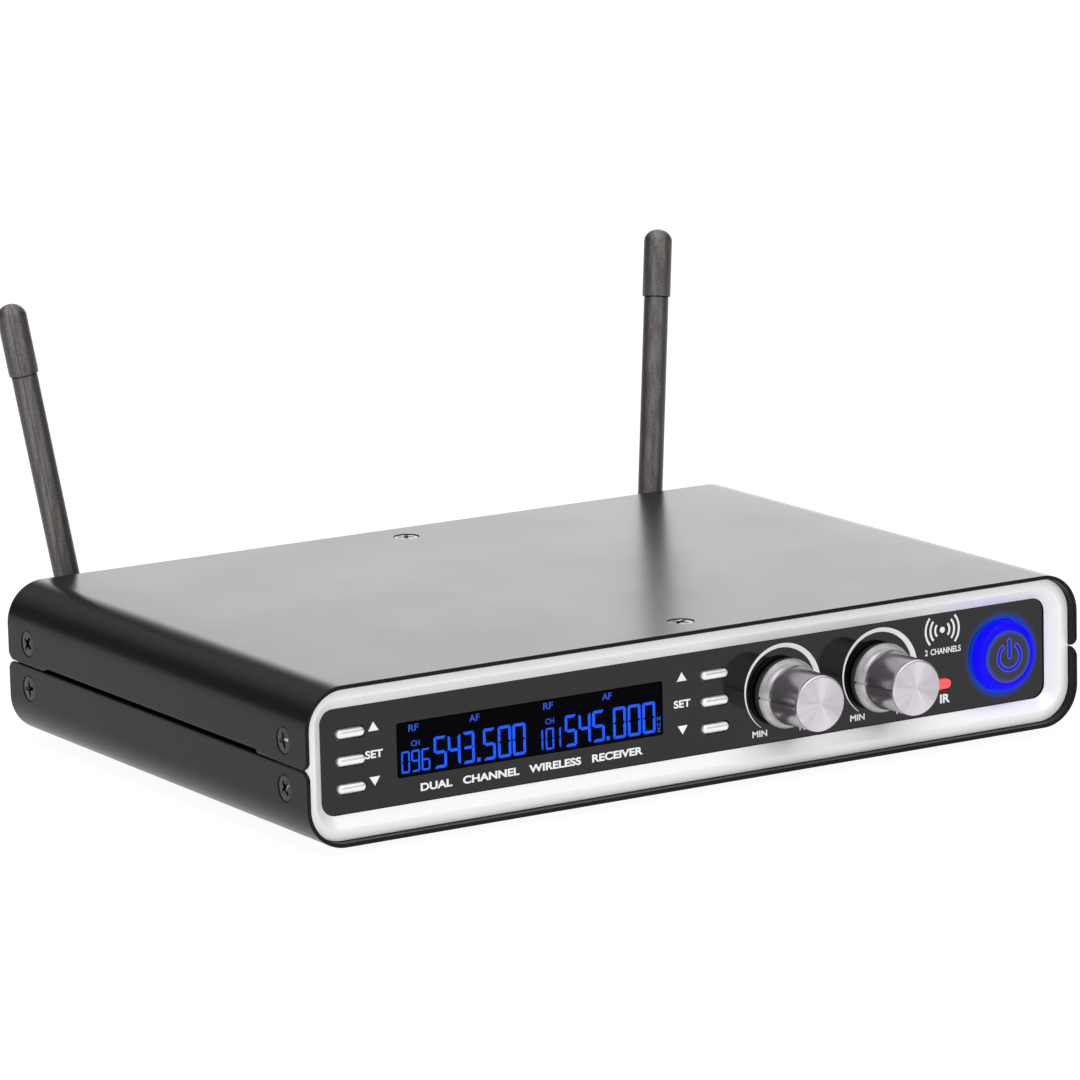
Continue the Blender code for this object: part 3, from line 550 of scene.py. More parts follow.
def antenna_sleeve(name, front):
    """Rubbery antenna sleeve: warm dark grey with a pitted grain, and painted highlights: pale
    bands along its front and back that stand in for the light's reflection on the rod. front is
    the angle of its front, in turns.

    The painted highlight share runs twice round the sleeve. It has two pale bands with a duller
    line between them, and nothing in between the front and the back."""
    paint, tree = finish(name, (0.06, 0.054, 0.052), 0.40, Specular_IOR_Level=0.5)
    pits = noise(tree, 2200, 3.0, 0.7)
    rub = noise(tree, 620, 3.0, 0.6, (1.0, 1.0, 0.10))
    turn = add(tree, "UVMap", uv_map="turning").outputs["UV"]
    turn = add(tree, "SeparateXYZ", {0: turn}).outputs[0]
    turn = reckon(tree, "MULTIPLY_ADD", turn, 2.0, 0.5 - 2 * front)
    # Painted highlight: two pale bands round the sleeve, placed by the front angle, stand in for
    # the light's reflection.
    painted_highlight_bands = add(tree, "ValToRGB", {0: reckon(tree, "FRACT", turn)})
    ramp = painted_highlight_bands.color_ramp
    ramp.interpolation = "B_SPLINE"
    stops = [(0.0, 0.0), (0.27, 0.05), (0.37, 0.85), (0.48, 0.80), (0.56, 0.45), (0.64, 0.80),
             (0.72, 0.10), (1.0, 0.0)]
    ramp.elements[0].position, ramp.elements[1].position = stops[0][0], stops[-1][0]
    for where, _ in stops[1:-1]:
        ramp.elements.new(where)
    for stop, (_, level) in zip(ramp.elements, stops):
        stop.color = (level, level, level, 1)
    grain = spread(tree, reckon(tree, "ADD", pits, rub), 0.80, 1.20, 0.45, 1.15)
    share = reckon(tree, "MULTIPLY", painted_highlight_bands.outputs["Color"], grain)
    tint(tree, share, (0.022, 0.019, 0.018), (0.200, 0.184, 0.178))
    drive(tree, "Roughness", pits, 0.3, 0.7, 0.30, 0.46)
    relief(tree, [(rub, 0.000025, 0.25), (pits, 0.000028, 0.7)])
    return paint


def board_mask():
    """Green solder mask with copper runs showing faintly under it."""
    paint, tree = finish("board_mask", (0.010, 0.11, 0.045), 0.32)
    runs = add(tree, "TexBrick", {"Vector": place_of(tree), "Scale": 160.0,
                                  "Mortar Size": 0.06})
    tint(tree, runs.outputs["Fac"], (0.008, 0.09, 0.035), (0.030, 0.19, 0.08))
    weave = noise(tree, 1500, 2.0, 0.5)
    relief(tree, [(weave, 0.000010, 0.2)])
    return paint


PAINT = case_paint()
SATIN = frame_satin()
GLOSS = panel_gloss()
SMOKE = display_smoke()
DIGITS = lit("digits_blue", (0.0055, 0.100, 0.960), 1.0)
LEGENDS = lit("legends_blue", (0.020, 0.090, 0.60), 0.9)
ICON = lit("icon_blue", (0.006, 0.012, 0.50), 1.0)
ICON_EDGE = lit("icon_edge_pale", (0.07, 0.10, 0.85), 1.0)
PRINT_WHITE = printed("print_white", (0.95, 0.95, 0.95))
PEARL = key_pearl()
KNOB_TIP = spun_metal("knob_tip", (0.66, 0.62, 0.66), 0.24, 0.34, 7.0, 0.9)
# The knob's side is a darker copy of the face's metal: painted shade.
KNOB_SIDE_SHADED = spun_metal("knob_side", (0.52, 0.485, 0.525), 0.18, 0.26, 12.0, 0.9)
KNOB_FOOT = spun_metal("knob_foot", (0.70, 0.67, 0.70), 0.26, 0.34, 10.0, 0.6)
# Black plastic whose base colour is raised to a grey that stands in for its sheen: part painted
# sheen.
KNOB_SKIRT = moulded_black("knob_skirt", (0.030, 0.030, 0.034), 0.30)
PLASTIC = moulded_black("black_moulding", (0.014, 0.014, 0.015), 0.45)
RUBBER = moulded_black("foot_rubber", (0.012, 0.012, 0.012), 0.75)
SCREW = plated("screw_blackened", (0.045, 0.045, 0.048), 0.24)
STEEL = plated("drawn_steel", (0.52, 0.52, 0.53), 0.30, (0.1, 1, 1))
NICKEL = plated("socket_nickel", (0.60, 0.59, 0.57), 0.22)
PIN_GOLD = plated("pin_gold", (0.80, 0.58, 0.25), 0.20)
RING = ring_blue()
DISC = disc_dark()
LENS = lens_red()
# The second number puts each sleeve's painted highlight bands towards the front.
SLEEVES = {"left": antenna_sleeve("sleeve_left", 0.010),
           "right": antenna_sleeve("sleeve_right", 0.285)}
BOARD = board_mask()


# ---------------------------------------------------------------- case

def seam_height(run, rise):
    """Height of a wall's edge over the case's middle, at places along the case: a quarter
    circle at each end, and in the upper shell a raised relief between them."""
    near = np.clip(np.minimum(run - RIM, TAIL - run), 0, SEAM_CORNER)
    corner = SEAM_CORNER - np.sqrt(SEAM_CORNER ** 2 - (SEAM_CORNER - near) ** 2)
    return SEAM + corner + np.interp(run, SLOT_RUN, [0, rise, rise, 0])


def make_shell(name, way, rise, top_screws):
    """A bent sheet. Across, it is a wall, a quarter circle of the bend radius, the flat, and
    the same back down; front to rear, its section is a closed loop one sheet thick with
    rounded rims. The walls stretch to the seam's height, and their edges are rounded too."""
    edge = 0.28 * MM
    run = stations(RIM + edge, TAIL - edge, 16, 3.2 * MM, 12, SLOT_RUN)
    turn = np.linspace(0, math.pi / 2, 5)[1:-1]
    cap_run = edge * (1 - np.sin(turn))
    cap_in = edge * (1 - np.cos(turn))
    run_loop = np.concatenate([
        [RIM, RIM], (RIM + cap_run)[::-1], run, TAIL - cap_run, [TAIL, TAIL, TAIL],
        (TAIL - cap_run)[::-1], run[::-1], RIM + cap_run, [RIM]])
    depth_loop = np.concatenate([
        [SHEET / 2, edge], cap_in[::-1], 0 * run, cap_in, [edge, SHEET / 2, SHEET - edge],
        SHEET - cap_in[::-1], 0 * run + SHEET, SHEET - cap_in, [SHEET - edge]])
    half_height = (TOP - BASE) / 2
    bend_z = half_height - BEND
    lift = np.linspace(0, math.pi / 2, 5)
    raise_by = np.concatenate([edge * (1 - np.cos(lift)), np.zeros(6)])
    share = np.concatenate([np.zeros(5), np.linspace(0.12, 0.9, 6)])
    thin = np.concatenate([1 - edge / (SHEET / 2) * (1 - np.sin(lift)), np.ones(6)])
    angle = np.linspace(0, math.pi / 2, 22)
    flat = np.linspace(1, -1, 14)[1:-1]
    wall_z = seam_height(run_loop, rise)
    rows = []
    for k in range(len(share)):
        inward = SHEET / 2 + (depth_loop - SHEET / 2) * thin[k]
        z = wall_z + raise_by[k] + (bend_z - wall_z - raise_by[k]) * share[k]
        rows.append(np.stack([HALF - inward, run_loop, z], axis=1))
    for a in angle:
        reach = BEND - depth_loop
        x = HALF - BEND + reach * math.cos(a)
        rows.append(np.stack([x, run_loop, bend_z + reach * math.sin(a)], axis=1))
    side = np.array(rows)
    middle = np.array([
        np.stack([0 * run_loop + f * (HALF - BEND), run_loop, half_height - depth_loop], axis=1)
        for f in flat])
    rings = np.vstack([side, middle, (side * (-1, 1, 1))[::-1]])
    rings[..., 2] = MID + way * rings[..., 2]
    points, faces = skin(rings, ends="open")
    around = rings.shape[1]
    for first in (0, (len(rings) - 1) * around):
        j = np.arange(1, around // 2 - 1)
        strip = np.stack([j, j + 1, around - j - 1, around - j], axis=1) + first
        half = around // 2
        tips = np.array([[0, 1, around - 1], [half - 1, half, half + 1]]) + first
        order = -1 if first == 0 else 1
        faces += strip[:, ::order].tolist() + tips[:, ::order].tolist()
    shell = piece(name + "_painted", points, faces, PAINT, replaces=[name])
    tools = []
    for screw in sorted(frame["nodes"]):
        wanted = "high" in screw if way > 0 else "low" in screw
        if screw.startswith("screw_") and (wanted or (top_screws and "_top_" in screw)):
            centre = middle_of(screw)
            out = UP if "_top_" in screw else (RIGHT if centre[0] > 0 else LEFT)
            surface = HALF if abs(out[0]) else TOP
            centre = np.where(np.abs(out) > 0, surface * np.sign(out), centre)
            tools.append(countersink(centre, out))
    cut(shell, tools)
    return shell


def countersink(centre, out):
    """A 45 degree cone, 3.4 mm in radius where it meets the painted surface."""
    ring = circle_of(out, np.linspace(0, math.tau, 56, endpoint=False))
    height = np.array((0.8, -1.8)) * MM
    radius = np.array((4.2, 1.6)) * MM
    rings = centre + radius[:, None, None] * ring + height[:, None, None] * np.asarray(out)
    return cutter(*skin(rings))


def make_screw(name, out, spin):
    """A countersunk screw. Its head is a disc of radius r whose height at (r, angle) is a
    slight dome minus a cross recess, which is the deeper of two tapering slots."""
    axis = np.asarray(out)
    face = float(max(np.dot(axis, np.array(corner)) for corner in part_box(name)))
    centre = np.where(np.abs(axis) > 0, face * axis, middle_of(name))
    turn = np.linspace(0, math.tau, 120, endpoint=False)
    radius = np.concatenate([[0.0], np.linspace(0.12, 2.1, 26), np.linspace(2.25, 2.95, 5)]) * MM
    x = radius[:, None] * np.cos(turn)
    y = radius[:, None] * np.sin(turn)
    dome = -0.10 * MM * (radius[:, None] / (3.1 * MM)) ** 2
    deep = np.zeros_like(x)
    for along, across in ((x, y), (y, x)):
        half = 0.56 * MM - 0.10 * np.abs(along)
        wall = np.clip((half - np.abs(across)) / (0.10 * MM), 0, 1)
        floor = np.clip((2.05 * MM - np.abs(along)) / (0.70 * MM), 0, 1)
        deep = np.maximum(deep, wall * floor * 1.1 * MM)
    head = dome - deep
    rest_radius = np.array((3.05, 3.10, 3.06, 1.5, 1.5, 1.2, 0.0)) * MM
    rest_height = np.array((-0.12, -0.18, -0.26, -1.7, -5.6, -6.0, -6.0)) * MM
    radius = np.concatenate([radius, rest_radius])
    height = np.vstack([head, np.repeat(rest_height[:, None], len(turn), axis=1)])
    ring = circle_of(axis, turn + math.radians(spin))
    rings = centre + radius[:, None, None] * ring + height[..., None] * axis
    points, faces = skin(rings, ends="open")
    return piece(name + "_plated", points, faces, SCREW, replaces=[name], weld=True, smooth=40)


def make_case():
    """Both shells and their ten screws, each screw left at its own angle."""
    make_shell("upper_shell", 1, SLOT_RISE, True)
    make_shell("lower_shell", -1, 0, False)
    angles = {"left_front_high": 12, "left_front_low": 38, "left_rear_high": 55,
              "left_rear_low": 8, "right_front_high": 30, "right_front_low": 64,
              "right_rear_high": 20, "right_rear_low": 47}
    for spot, spin in angles.items():
        make_screw("screw_" + spot, LEFT if spot.startswith("left") else RIGHT, spin)
    make_screw("screw_top_front", UP, 28)
    make_screw("screw_top_rear", UP, 61)
    for number in range(1, 5):
        centre = middle_of(f"foot_{number}")
        centre[2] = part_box(f"foot_{number}")[1].z
        profile = soften([(0, 0), (5.0, 0), (5.0, -1.3), (4.5, -1.7), (3.2, -1.7), (2.8, -1.3),
                          (0, -1.3)], 0.25)
        turned(f"foot_{number}_moulded", profile, centre, UP, RUBBER,
               replaces=[f"foot_{number}"])


def make_bezel():
    """Silver frame: a closed profile of (inset, depth) carried round a rounded rectangle."""
    spare = SHEET + 0.04 * MM
    width, height = 2 * (HALF - spare), TOP - BASE - 2 * spare
    profile = [(0, 2.7), (0.1, 2.5), (2.61, 2.5), (5.46, 5.15), (5.1, 5.15), (3.6, 5.15),
               (3.6, 16.0), (0, 16.0)]
    profile = soften(profile, 0.30, 5, closed=True) * MM
    rings = []
    for inset, depth in profile:
        outline = rounded(width - 2 * inset, height - 2 * inset, BEND - spare - inset, 20)
        rings.append(np.stack([outline[:, 0], 0 * outline[:, 0] + RIM + depth,
                               outline[:, 1] + MID], axis=1))
    points, faces = skin(np.array(rings), loop=True)
    return piece("front_bezel_satin", points, faces, SATIN, replaces=["front_bezel"], smooth=38)


# ---------------------------------------------------------------- printing and lit figures

def lettering(name, text, box, finish=PRINT_WHITE, face=PLATE, rear=False, bold=0.03):
    """Words drawn flat, fitted to a box (left, right, low, high) in millimetres from the
    case's middle and underside, and raised by the thickness of the ink."""
    letters = bpy.data.curves.new(name, "FONT")
    letters.body = text
    letters.size = 1.0
    letters.offset = bold
    letters.extrude = 0.005
    letters.space_word = 1.6
    holder = place(name, letters)
    shape = holder.evaluated_get(bpy.context.evaluated_depsgraph_get())
    mesh = bpy.data.meshes.new_from_object(shape)
    bpy.data.objects.remove(holder)
    co = points_of(mesh)
    flat = (co[:, :2] - co[:, :2].min(axis=0)) / np.ptp(co[:, :2], axis=0)
    left, right, low, high = np.array(box) * MM
    side = -1 if rear else 1
    x = side * (left + (right - left) * flat[:, 0])
    z = BASE + low + (high - low) * flat[:, 1]
    y = face - side * PRINT * (co[:, 2] / 0.01 + 0.45)
    mesh.vertices.foreach_set("co", np.stack([x, y, z], axis=1).ravel())
    mesh.materials.clear()
    mesh.materials.append(finish)
    item = place(name, mesh)
    weld_mesh(mesh)
    face_out(mesh)
    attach(item, "chassis")
    return item


def figure_outlines(figure, left, right, low, high, stroke, gap):
    """The lit bars of one seven-bar figure. A bar at the rim is a mitred strip whose outer
    corners are cut; the middle bar is a hexagon."""
    w, h, s, g, r = right - left, high - low, stroke, gap, 0.55 * stroke
    m = h / 2
    top = [(r, h), (w - r, h), (w - r / 2 - g, h - r / 2), (w - s - g, h - s), (s + g, h - s),
           (r / 2 + g, h - r / 2)]
    upper = [(0, h - r), (r / 2, h - r / 2 - g), (s, h - s - g), (s, m + s / 2 + g),
             (s / 2, m + g), (0, m + g)]
    middle = [(s / 2 + g, m), (s + g, m + s / 2), (w - s - g, m + s / 2), (w - s / 2 - g, m),
              (w - s - g, m - s / 2), (s + g, m - s / 2)]
    across = [(w, 0), (-1, 1)]
    down = [(0, h), (1, -1)]
    both = [(w, h), (-1, -1)]
    bars = {
        "a": (top, None), "d": (top, down), "f": (upper, None), "b": (upper, across),
        "e": (upper, down), "c": (upper, both), "g": (middle, None),
    }
    lit_bars = {"0": "abcdef", "1": "bc", "3": "abcdg", "4": "bcfg", "5": "acdfg",
                "6": "acdefg", "9": "abcdfg"}
    outlines = []
    for bar in lit_bars[figure]:
        shape, mirror = bars[bar]
        shape = np.array(shape)
        if mirror:
            shape = np.array(mirror[0]) + shape * mirror[1]
        outlines.append(shape + (left, low))
    return outlines


def lit_figures(name, figures, stroke, gap):
    """Several figures, given as (figure, left, right, low, high), as one thin lit piece."""
    outlines = []
    for figure, left, right, low, high in figures:
        if figure == ".":
            outlines.append(np.array([(left, low), (right, low), (right, high), (left, high)]))
        else:
            outlines += figure_outlines(figure, left, right, low, high, stroke, gap)
    points, faces = [], []
    for outline in outlines:
        ring = np.zeros((2, len(outline), 3))
        ring[..., 0] = outline[:, 0] * MM
        ring[..., 2] = BASE + outline[:, 1] * MM
        ring[0, :, 1] = GLASS - PRINT
        ring[1, :, 1] = GLASS + SUNK
        more, sides = skin(ring)
        first = sum(len(p) for p in points)
        points.append(more)
        faces += [[corner + first for corner in side] for side in sides]
    return piece(name, np.vstack(points), faces, DIGITS)


def band(name, centre, outer, inner, start, end, finish=PRINT_WHITE, face=PLATE, steps=64,
         body="chassis"):
    """A flat band round a centre between two radii, which may change along it; angles are
    in degrees, anticlockwise from the right as seen from the front."""
    angle = np.radians(np.linspace(start, end, steps))
    share = np.linspace(0, 1, steps)
    outer = (outer(share) if callable(outer) else np.full(steps, outer)) * MM
    inner = (inner(share) if callable(inner) else np.full(steps, inner)) * MM
    sections = np.zeros((steps, 4, 3))
    for k, (radius, level) in enumerate(((outer, -PRINT), (inner, -PRINT), (inner, SUNK),
                                         (outer, SUNK))):
        sections[:, k, 0] = centre[0] * MM + radius * np.cos(angle)
        sections[:, k, 1] = face + level
        sections[:, k, 2] = BASE + centre[1] * MM + radius * np.sin(angle)
    points, faces = skin(sections)
    return piece(name, points, faces, finish, body=body)


def mark(name, outline, finish=PRINT_WHITE, face=PLATE, body="chassis"):
    """A small flat printed shape from an outline in millimetres."""
    outline = np.array(outline) * MM + (0, BASE)
    return prism(name, outline, face - PRINT, face + SUNK, finish, body=body)


def make_printing():
    """White printing on the front panel."""
    for side, x in (("left", -87.5), ("right", -3.4)):
        mark(f"arrow_up_{side}", [(x - 1.4, 24.9), (x + 1.4, 24.9), (x, 27.05)])
        mark(f"arrow_down_{side}", [(x - 1.4, 14.1), (x, 11.95), (x + 1.4, 14.1)])
        lettering(f"legend_set_{side}", "SET", (x - 2.35, x + 2.35, 18.45, 20.35))
    lettering("legend_line", "DUAL  CHANNEL  WIRELESS  RECEIVER", (-75.4, -14.7, 8.8, 10.7),
              bold=0.034)
    for key, x in (("a", 24.9), ("b", 53.1)):
        band(f"level_arc_{key}", (x + 0.25, 19.25), 10.95,
             lambda share: 10.8 - 1.9 * share ** 1.15, 234, -54, steps=120)
        for end, left, right in (("min", x - 8.6, x - 4.4), ("max", x + 4.9, x + 9.3)):
            lettering(f"legend_{end}_{key}", end.upper(), (left, right, 8.2, 9.75), bold=0.025)
    lettering("legend_infrared", "IR", (70.9, 73.8, 9.0, 11.2))
    signal = (71.8, 27.2)
    band("signal_dot", signal, 0.75, 0.001, 0, 360, steps=40)
    for number, radius in enumerate((2.1, 3.5, 4.9), 1):
        for side, middle in (("right", 0), ("left", 180)):
            band(f"signal_wave_{side}_{number}", signal, radius + 0.28, radius - 0.28,
                 middle - 42, middle + 42, steps=40)
    lettering("legend_channels", "2 CHANNELS", (66.6, 77.2, 21.3, 22.8), bold=0.02)


def make_display():
    """Figures and legends lit behind the display glass."""
    big = (13.5, 21.1)
    small = (13.6, 18.8)
    row = [("5", -71.6, -68.1), ("4", -67.8, -64.4), ("3", -63.9, -60.6), ("5", -58.3, -54.9),
           ("0", -54.3, -50.7), ("0", -50.3, -46.7), ("5", -36.0, -32.7), ("4", -32.2, -28.9),
           ("5", -28.4, -25.0), ("0", -22.7, -19.1), ("0", -18.6, -15.0), ("0", -14.5, -10.9)]
    figures = [(f, a, b, *big) for f, a, b in row]
    figures += [(".", -60.0, -59.1, 13.5, 14.5), (".", -24.6, -23.7, 13.5, 14.5)]
    lit_figures("frequency_figures", figures, 0.72, 0.07)
    row = [("0", -80.3, -78.0), ("9", -77.6, -75.3), ("6", -74.9, -72.6), ("1", -43.6, -42.0),
           ("0", -41.3, -39.0), ("1", -38.9, -37.1)]
    lit_figures("channel_figures", [(f, a, b, *small) for f, a, b in row], 0.46, 0.06)
    legends = [("RF", -78.2, -75.5), ("RF", -41.8, -39.1), ("AF", -61.9, -59.1),
               ("AF", -25.6, -22.9), ("CH", -77.6, -75.3), ("CH", -41.3, -38.9)]
    for number, (text, left, right) in enumerate(legends, 1):
        rise = (19.7, 21.1) if text == "CH" else (23.3, 24.9)
        lettering(f"display_legend_{number}", text, (left, right, *rise), LEGENDS, face=GLASS,
                  bold=0.02)
    for number, (text, low) in enumerate((("M", 16.2), ("H", 14.8), ("z", 13.5)), 1):
        lettering(f"display_unit_{number}", text, (-10.5, -9.5, low, low + 1.0), LEGENDS,
                  face=GLASS, bold=0.01)


# ---------------------------------------------------------------- controls

STEM = 1.3 * MM
POINTER_DEPTH = 0.45 * MM
POINTER_EDGE = 0.10 * MM
POINTER_TOP = 15.7 * MM
KNOB_WAIST = 7.2 * MM


def pill(name, centre, width, height, proud, levels, finish, **options):
    """A stadium-shaped button. Round it, each point is spine + share (rim - spine); the face
    rises to its crown as sqrt(1 - share squared), and behind it the outline steps back
    through levels of (how much wider, how far behind the panel's face)."""
    steps = 40
    angle = np.linspace(0, math.tau, 2 * steps, endpoint=False)
    radius = height / 2
    spine = np.where(np.cos(angle) >= 0, 1, -1) * (width / 2 - radius)
    share = np.sin(np.linspace(0, math.pi / 2, 12))
    rows = []
    crown = proud * 0.86
    for k in share:
        x = spine + k * radius * np.cos(angle)
        z = k * radius * np.sin(angle)
        y = np.full_like(x, -(proud - crown) - crown * math.sqrt(max(0.0, 1 - k * k)))
        rows.append(np.stack([x, y, z], axis=1))
    for grow, back in levels:
        x = spine + (radius + grow) * np.cos(angle)
        z = (radius + grow) * np.sin(angle)
        rows.append(np.stack([x, np.full_like(x, back), z], axis=1))
    x = STEM * np.cos(angle)
    z = STEM * np.sin(angle)
    for back in (levels[-1][1], levels[-1][1] + 1.2 * MM):
        rows.append(np.stack([x, np.full_like(x, back), z], axis=1))
    points, faces = skin(np.array(rows) + centre, ends="open")
    faces.append((np.arange(2 * steps) + (len(rows) - 1) * 2 * steps).tolist())
    return piece(name, points, faces, finish, weld=True, smooth=50, **options)


def make_keys():
    """Six pearl keys, each crowned like a rod, with a flange behind the panel."""
    back = plate_high.y - PLATE
    levels = [(0, back + 0.4 * MM), (0.8 * MM, back + 0.4 * MM), (0.8 * MM, back + 1.3 * MM),
              (0.0, back + 1.3 * MM), (0.0, back + 1.32 * MM)]
    for side in ("left", "right"):
        for row in ("up", "set", "down"):
            name = f"key_{side}_{row}"
            pill(name + "_pearl", centre_of(name, PLATE), 7.5 * MM, 2.2 * MM, 0.99 * MM, levels,
                 PEARL, body=name, replaces=[name])


def make_lens():
    """The infrared window, almost flush."""
    low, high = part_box("ir_window")
    levels = [(0, high.y - PLATE - back) for back in (0.3 * MM, 0.25 * MM)]
    pill("infrared_lens", centre_of("ir_window", PLATE), high.x - low.x, high.z - low.z,
         0.1 * MM, levels, LENS, replaces=["ir_window"])


def make_knobs():
    """Two spun knobs: a flared foot, a waisted barrel, a bright rim and a spun face. A
    pointer line is pressed into the side that is on the left at rest."""
    def pointer(angle, height):
        """How deep the line is pressed in: full near the left, nothing beyond its edges."""
        off = np.abs(angle - math.pi) * KNOB_WAIST
        press = POINTER_DEPTH * np.clip(3.1 - off / POINTER_EDGE, 0, 1)
        return press * (height < POINTER_TOP)

    for key in ("a", "b"):
        centre = centre_of(f"pot_shaft_{key}", PLATE)
        body = f"volume_{key}"
        side = [(0, 15.3), (6.1, 15.3), (6.76, 15.98), (6.8, 15.85), (6.81, 15.0), (6.84, 13.0),
                (6.9, 10.5), (6.98, 8.4), (7.08, 6.8), (7.18, 5.9), (7.3, 5.3), (7.34, 5.2),
                (7.4, 5.1), (6.6, 4.2), (0, 4.2)]
        turned(f"knob_side_{key}", side, centre, FRONT, KNOB_SIDE_SHADED, steps=720, dent=pointer,
               replaces=[f"volume_knob_{key}"], body=body)
        foot = [(0, 5.1), (7.1, 5.1), (7.3, 5.16), (7.36, 5.1), (8.46, 2.62), (8.5, 2.5),
                (8.46, 2.42), (8.4, 2.4), (5.9, 2.4), (5.9, 4.6), (0, 4.6)]
        turned(f"knob_foot_{key}", foot, centre, FRONT, KNOB_FOOT, steps=720, dent=pointer,
               body=body)
        face = [(0, 16.24), (2.0, 16.25), (4.5, 16.27), (6.25, 16.3), (6.42, 16.29), (6.6, 16.2),
                (6.74, 16.05), (6.78, 15.9), (6.5, 15.6), (0, 15.4)]
        turned(f"knob_face_{key}", face, centre, FRONT, KNOB_TIP, steps=160, body=body)
        skirt = soften([(5.6, 14.4), (5.6, 2.1), (8.2, 2.1), (8.4, 1.9), (8.4, 0.6), (8.2, 0.4),
                        (3.3, 0.4), (3.3, 14.4)], 0.15, 3, closed=True)
        turned(f"knob_skirt_{key}", skirt, centre, FRONT, KNOB_SKIRT, steps=128, loop=True,
               body=body, replaces=[f"knob_core_{key}"])


def make_power():
    """Lit button: a clear blue ring round a smoked face that carries the power sign."""
    centre = centre_of("power_button", PLATE)
    ring = [(0, 2.2), (6.9, 2.2), (6.9, 2.95), (7.1, 3.0), (8.1, 2.7), (8.5, 2.1), (8.5, -2.5),
            (10.3, -2.5), (10.3, -3.5), (7.6, -3.5), (7.6, 0.8), (2.0, 0.8), (2.0, -4.6), (0, -4.6)]
    turned("power_ring", soften(ring, 0.35, 4), centre, FRONT, RING, steps=160, body="power",
           replaces=["power_button"])
    disc = soften([(0, 2.98), (6.45, 2.98), (6.6, 2.85), (6.6, 2.5), (0, 2.5)], 0.1, 3)
    turned("power_face", disc, centre, FRONT, DISC, steps=128, body="power",
           replaces=["power_button_face"])
    face = PLATE - 2.98 * MM
    spot = (centre[0] / MM + 0.25, (centre[2] - BASE) / MM)
    layers = [("_edge", ICON_EDGE, face, (3.84, 2.64, 121, 419), (1.26, 5.2, 0.61)),
              ("", ICON, face - 0.8 * PRINT, (3.62, 2.88, 124, 416), (0.80, 4.74, 0.39))]
    for end, light, level, arc, bar in layers:
        band("power_sign" + (end or "_ring"), spot, *arc, light, level, 96, "power")
        bar = rounded(*bar, 8) + (spot[0], spot[1] + 2.0)
        mark("power_sign_bar" + end, bar, light, level, "power")


# ---------------------------------------------------------------- rear

def make_sockets():
    """Two three-pin outputs, the mixed jack output and the power inlet."""
    for key in ("a", "b"):
        centre = centre_of(f"balanced_output_{key}", SOCKET_FACE)
        cup = [(8.2, -13.6), (8.2, 1.2), (8.5, 1.4), (11.5, 1.4), (12.0, 1.0), (12.0, 0),
               (9.8, 0), (9.8, -16.0), (0, -16.0)]
        profile = np.vstack([[(0, -14.2), (8.2, -14.2)], soften(cup, 0.2, 3)[1:]])
        turned(f"output_{key}_shell", profile, centre, BACK, NICKEL,
               replaces=[f"balanced_output_{key}"])
        insert = soften([(0, -12.9), (7.9, -12.9), (8.1, -13.1), (8.1, -14.1), (0, -14.1)], 0.15)
        turned(f"output_{key}_insert", insert, centre, BACK, PLASTIC)
        pin = [(0, -3.6), (0.55, -3.65), (0.95, -3.95), (1.2, -4.6), (1.2, -13.2), (0, -13.2)]
        for number, spin in enumerate((90, 210, 330), 1):
            turn = math.radians(spin)
            spot = centre + np.array((math.cos(turn), 0, math.sin(turn))) * 4.3 * MM
            turned(f"output_{key}_pin_{number}", soften(pin, 0.2), spot, BACK, PIN_GOLD, steps=40)
    centre = centre_of("mix_output_jack", SOCKET_FACE)
    jack = [(0, -20.0), (3.3, -20.0), (3.3, 1.7), (3.6, 2.0), (6.4, 2.0), (7.0, 1.4), (7.0, 0),
            (5.8, 0), (5.8, -3.0), (7.5, -3.0), (7.5, -22.0), (0, -22.0)]
    turned("mix_output_body", soften(jack, 0.2, 3), centre, BACK, PLASTIC,
           replaces=["mix_output_jack"])
    nut = soften([(3.75, 1.7), (3.75, 2.05), (5.4, 2.05), (5.6, 1.9), (5.6, 1.7)], 0.1,
                 closed=True)
    turned("mix_output_collar", nut, centre, BACK, NICKEL, loop=True)
    centre = centre_of("power_inlet", SOCKET_FACE)
    inlet = [(0, -9.0), (3.15, -9.0), (3.15, 0.8), (3.35, 1.0), (6.4, 1.0), (6.6, 0.8), (6.6, 0),
             (5.4, 0), (5.4, -13.0), (0, -13.0)]
    turned("inlet_body", soften(inlet, 0.2, 3), centre, BACK, PLASTIC,
           replaces=["power_inlet"])
    pin = [(0, -0.6), (0.7, -0.65), (1.0, -0.95), (1.0, -9.2), (0, -9.2)]
    turned("inlet_pin", soften(pin, 0.15), centre, BACK, NICKEL, steps=40)
    labels = [("BALANCED  OUT  A", 37.5, 58.5), ("BALANCED  OUT  B", 5.5, 26.5),
              ("MIX  OUT", -18.8, -9.2), ("DC  IN", -47.4, -40.6), ("ANT  A", -88.1, -80.1),
              ("ANT  B", 80.1, 88.1)]
    for number, (text, left, right) in enumerate(labels, 1):
        lettering(f"rear_legend_{number}", text, (left, right, 4.4, 5.8), face=REAR, rear=True,
                  bold=0.02)


def antenna_axes(side):
    """Pivot point, the rod's own direction and the fold pin's direction, from the joints."""
    joint = next(j for j in frame["joints"] if j["name"] == f"antenna_fold_{side}")
    pin = np.array(joint["axis"], float)
    pivot = np.array(joint["pos_m"], float)
    way = middle_of(f"antenna_cap_{side}") - pivot
    way = way - pin * np.dot(way, pin)
    return pivot, way / np.linalg.norm(way), pin / np.linalg.norm(pin)


